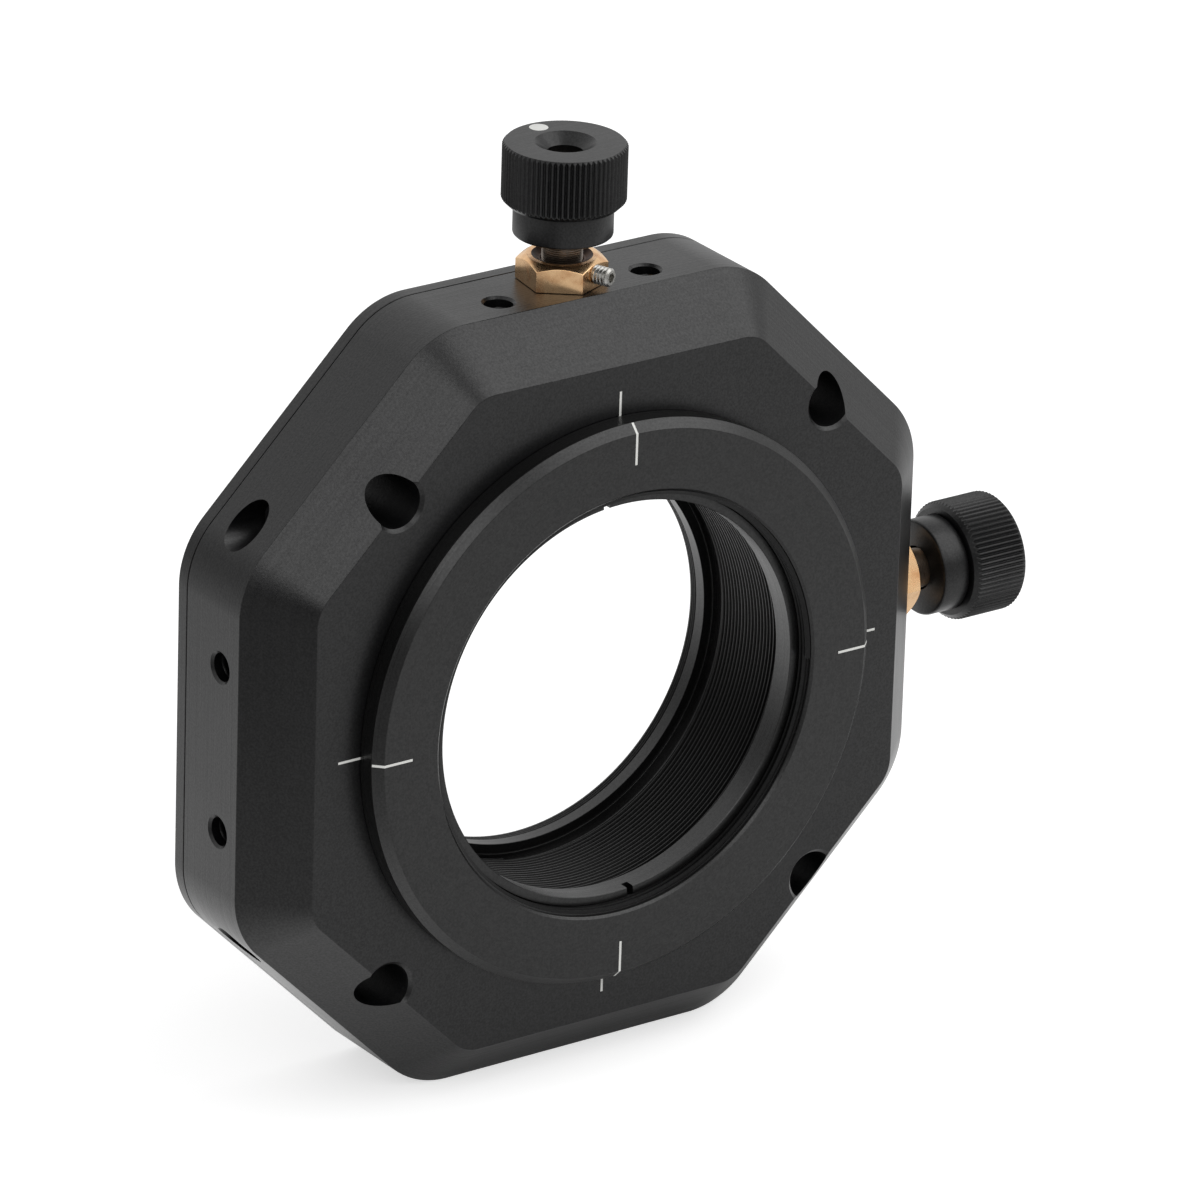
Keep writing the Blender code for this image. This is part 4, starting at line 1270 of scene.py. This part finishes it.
# The paper's size is in metres; it lies a hair below the mount, in millimetres
FLOOR_SIZE = 6.0
FLOOR_DROP = 0.02
PAPER = "#E2E2E2"
PAPER_ROUGHNESS = 0.9
PAPER_GLOW = 0.6
PAINTED_GREY_REFLECTION = "#6A6A6A"
floor_shape = bmesh.new()
bmesh.ops.create_grid(floor_shape, x_segments=1, y_segments=1, size=FLOOR_SIZE / 2)
floor = to_object("floor", floor_shape)
floor.data.transform(Matrix.Translation((0, 0, -FLOOR_DROP * MM)))
floor_material, floor_tree, floor_shader, floor_mm = start_material("paper_white", PAPER, PAPER_ROUGHNESS)
paper = add_node(floor_tree, "ShaderNodeTexNoise", {"Vector": floor_mm, "Scale": 0.5, "Detail": 3.0})
surfaced(floor_tree, floor_shader, PAPER_ROUGHNESS, paper.outputs["Fac"], 0.05, 0.01)

# %% Painted reflections that only mirror-like faces see on the paper
seen = add_node(floor_tree, "ShaderNodeLightPath").outputs
on_floor = add_node(floor_tree, "ShaderNodeSeparateXYZ", {0: floor_mm}).outputs
made = {"x": on_floor["X"], "y": on_floor["Y"]}
made |= {"camera": seen["Is Camera Ray"], "glossy": seen["Is Glossy Ray"]}
for name, operation, place in (
    ("from corner", "DISTANCE", (-46, -16, 0)),
    ("from card", "DISTANCE", (0, 30, 0)),
    ("across strip", "DOT_PRODUCT", (0.555, -0.83, 0)),
):
    measure = add_node(floor_tree, "ShaderNodeVectorMath", {0: floor_mm, 1: place}, operation=operation)
    made[name] = measure.outputs["Value"]
for name, operation, *inputs in (
    ("from strip", "ADD", "across strip", 14.0),
    ("aside", "ABSOLUTE", "from strip"),
):
    sockets = {place: made.get(value, value) for place, value in enumerate(inputs)}
    made[name] = add_node(floor_tree, "ShaderNodeMath", sockets, operation=operation).outputs[0]
for name, value, *limits in (
    # The painted reflection in front, a dim glow, is brighter to the right, starts a thumb's breadth before
    # the mount and soon ends
    ("sheet", "x", -100.0, 120.0, 0.0, 0.22),
    ("near edge", "y", -12.0, -28.0, 0.0, 1.0),
    ("far edge", "y", -90.0, -150.0, 1.0, 0.1),
    # A painted reflection: a glow on the paper at the lower left corner that only mirror-like rays see
    ("corner", "from corner", 10.0, 32.0, 0.45, 0.0),
    # A painted reflection: a bright glow behind the mount that only mirror-like rays see
    ("card", "from card", 20.0, 200.0, 0.85, 0.08),
    ("behind", "y", -5.0, 20.0, 0.0, 1.0),
    # The painted grey reflection strip lies away to the left in front
    ("leftward", "x", -100.0, -180.0, 0.0, 1.0),
    ("within", "aside", 25.0, 60.0, 1.0, 0.0),
):
    sockets = {"Value": made[value], **dict(zip(RANGE, limits))}
    made[name] = add_node(floor_tree, "ShaderNodeMapRange", sockets).outputs["Result"]
for name, kind, inputs, settings in (
    ("clear", "ShaderNodeMath", {0: "near edge", 1: "far edge"}, {"operation": "MULTIPLY"}),
    ("front", "ShaderNodeMath", {0: "sheet", 1: "clear", 2: "corner"}, {"operation": "MULTIPLY_ADD"}),
    ("sheets", "ShaderNodeMix", {"Factor": "behind", 2: "front", 3: "card"}, {}),
    # Only glossy rays see these painted reflections; camera rays see the paper's even glow
    ("mirrored", "ShaderNodeMath", {0: "sheets", 1: "glossy"}, {"operation": "MULTIPLY"}),
    ("glow", "ShaderNodeMath", {0: "camera", 1: PAPER_GLOW, 2: "mirrored"}, {"operation": "MULTIPLY_ADD"}),
    ("patch", "ShaderNodeMath", {0: "within", 1: "leftward"}, {"operation": "MULTIPLY"}),
    ("strip", "ShaderNodeMath", {0: "patch", 1: "glossy"}, {"operation": "MULTIPLY"}),
):
    sockets = {socket: made.get(value, value) for socket, value in inputs.items()}
    made[name] = add_node(floor_tree, kind, sockets, **settings).outputs[0]
# Mirror-like rays see the paper grey inside the strip: a painted reflection
colours = {"Factor": made["strip"], "A": hex_colour(PAPER), "B": hex_colour(PAINTED_GREY_REFLECTION)}
paper_seen = add_node(floor_tree, "ShaderNodeMix", colours, data_type="RGBA")
floor_tree.links.new(paper_seen.outputs["Result"], floor_shader.inputs["Base Color"])
floor_shader.inputs["Emission Color"].default_value = hex_colour("#FFFFFF")
floor_tree.links.new(made["glow"], floor_shader.inputs["Emission Strength"])
floor.data.materials.append(floor_material)
print("the paper's material has", len(floor_tree.nodes), "nodes")

# %% Sheet behind, painted dark reflections and lamps
DIFFUSE_LEVEL = 0.5
world = bpy.data.worlds.new("white_sheet")
world.use_nodes = True
scene.world = world
sky = world.node_tree
background = sky.nodes["Background"]
path = add_node(sky, "ShaderNodeLightPath").outputs
shown = path["Is Camera Ray"]
for ray in ("Is Transmission Ray", "Is Glossy Ray"):
    shown = add_node(sky, "ShaderNodeMath", {0: shown, 1: path[ray]}, operation="MAXIMUM").outputs[0]
toward = add_node(sky, "ShaderNodeTexCoord").outputs["Generated"]
depth_of_room = add_node(sky, "ShaderNodeSeparateXYZ", {0: toward}).outputs["Y"]
limits = dict(zip(RANGE, (-1.0, 0.6, 0.4, 0.85)))
reflected = add_node(sky, "ShaderNodeMapRange", {"Value": depth_of_room, **limits}).outputs["Result"]
# Two dark patches on the left, one at the back and one in front, are painted reflections that only
# mirror-like rays see; they show in the left corner
for place, darkest in (((-0.62, 0.75, 0.16), 0.35), ((-0.77, -0.62, 0.14), 0.12)):
    from_painted_dark_patch = add_node(sky, "ShaderNodeVectorMath", {0: toward, 1: place}, operation="DISTANCE")
    limits = dict(zip(RANGE, (0.1, 0.48, darkest, 1.0)))
    painted_dark_patch = add_node(sky, "ShaderNodeMapRange", {"Value": from_painted_dark_patch.outputs["Value"], **limits})
    both = {0: reflected, 1: painted_dark_patch.outputs["Result"]}
    reflected = add_node(sky, "ShaderNodeMath", both, operation="MULTIPLY").outputs[0]
brightest = {0: reflected, 1: path["Is Camera Ray"]}
reflected = add_node(sky, "ShaderNodeMath", brightest, operation="MAXIMUM").outputs[0]
strength = add_node(sky, "ShaderNodeMix", {"Factor": shown, 2: DIFFUSE_LEVEL, 3: reflected}).outputs[0]
sky.links.new(strength, background.inputs["Strength"])
background.inputs["Color"].default_value = (1, 1, 1, 1)


def lamp(name, place, aim, size, watts):
    """A soft square lamp, aimed at a point; places are in metres."""
    data = bpy.data.lights.new(name, "AREA")
    data.size = size
    data.energy = watts
    light = bpy.data.objects.new(name, data)
    scene.collection.objects.link(light)
    away = Vector(place) - Vector(aim)
    light.matrix_world = Matrix.Translation(place) @ away.to_track_quat("Z", "Y").to_matrix().to_4x4()
    return light


middle = (0, 0, axis_up * MM)
lamp("key_above", (0.55, -0.40, 0.85), middle, 1.0, 4.3)
lamp("fill_left", (-0.50, -0.72, 0.71), middle, 0.6, 1.7)

# %% [markdown]
# ## The camera
# The picture was taken with a long lens from the left and a little above. The camera's place
# comes from its angles round a point in the bore, and its small roll from the photograph.

# %% Camera
AZIMUTH = radians(-35.574)
ELEVATION = radians(23.0)
ROLL = radians(1.829)
DISTANCE = 1152.14
TARGET = Vector((-1.99, front_y, axis_up + 12.319))
LENS = 302.5
SENSOR = 36.0

back = Vector((sin(AZIMUTH) * cos(ELEVATION), -cos(AZIMUTH) * cos(ELEVATION), sin(ELEVATION)))
right = (-back).cross(Vector((0, 0, 1))).normalized()
up = right.cross(-back)
right, up = right * cos(ROLL) + up * sin(ROLL), up * cos(ROLL) - right * sin(ROLL)
camera_data = bpy.data.cameras.new("camera")
camera_data.lens = LENS
camera_data.sensor_width = SENSOR
camera = bpy.data.objects.new("camera", camera_data)
scene.collection.objects.link(camera)
camera.matrix_world = (
    Matrix.Translation((TARGET + back * DISTANCE) * MM) @ Matrix((right, up, back)).transposed().to_4x4()
)
scene.camera = camera
print("camera stands at", camera.matrix_world.translation)
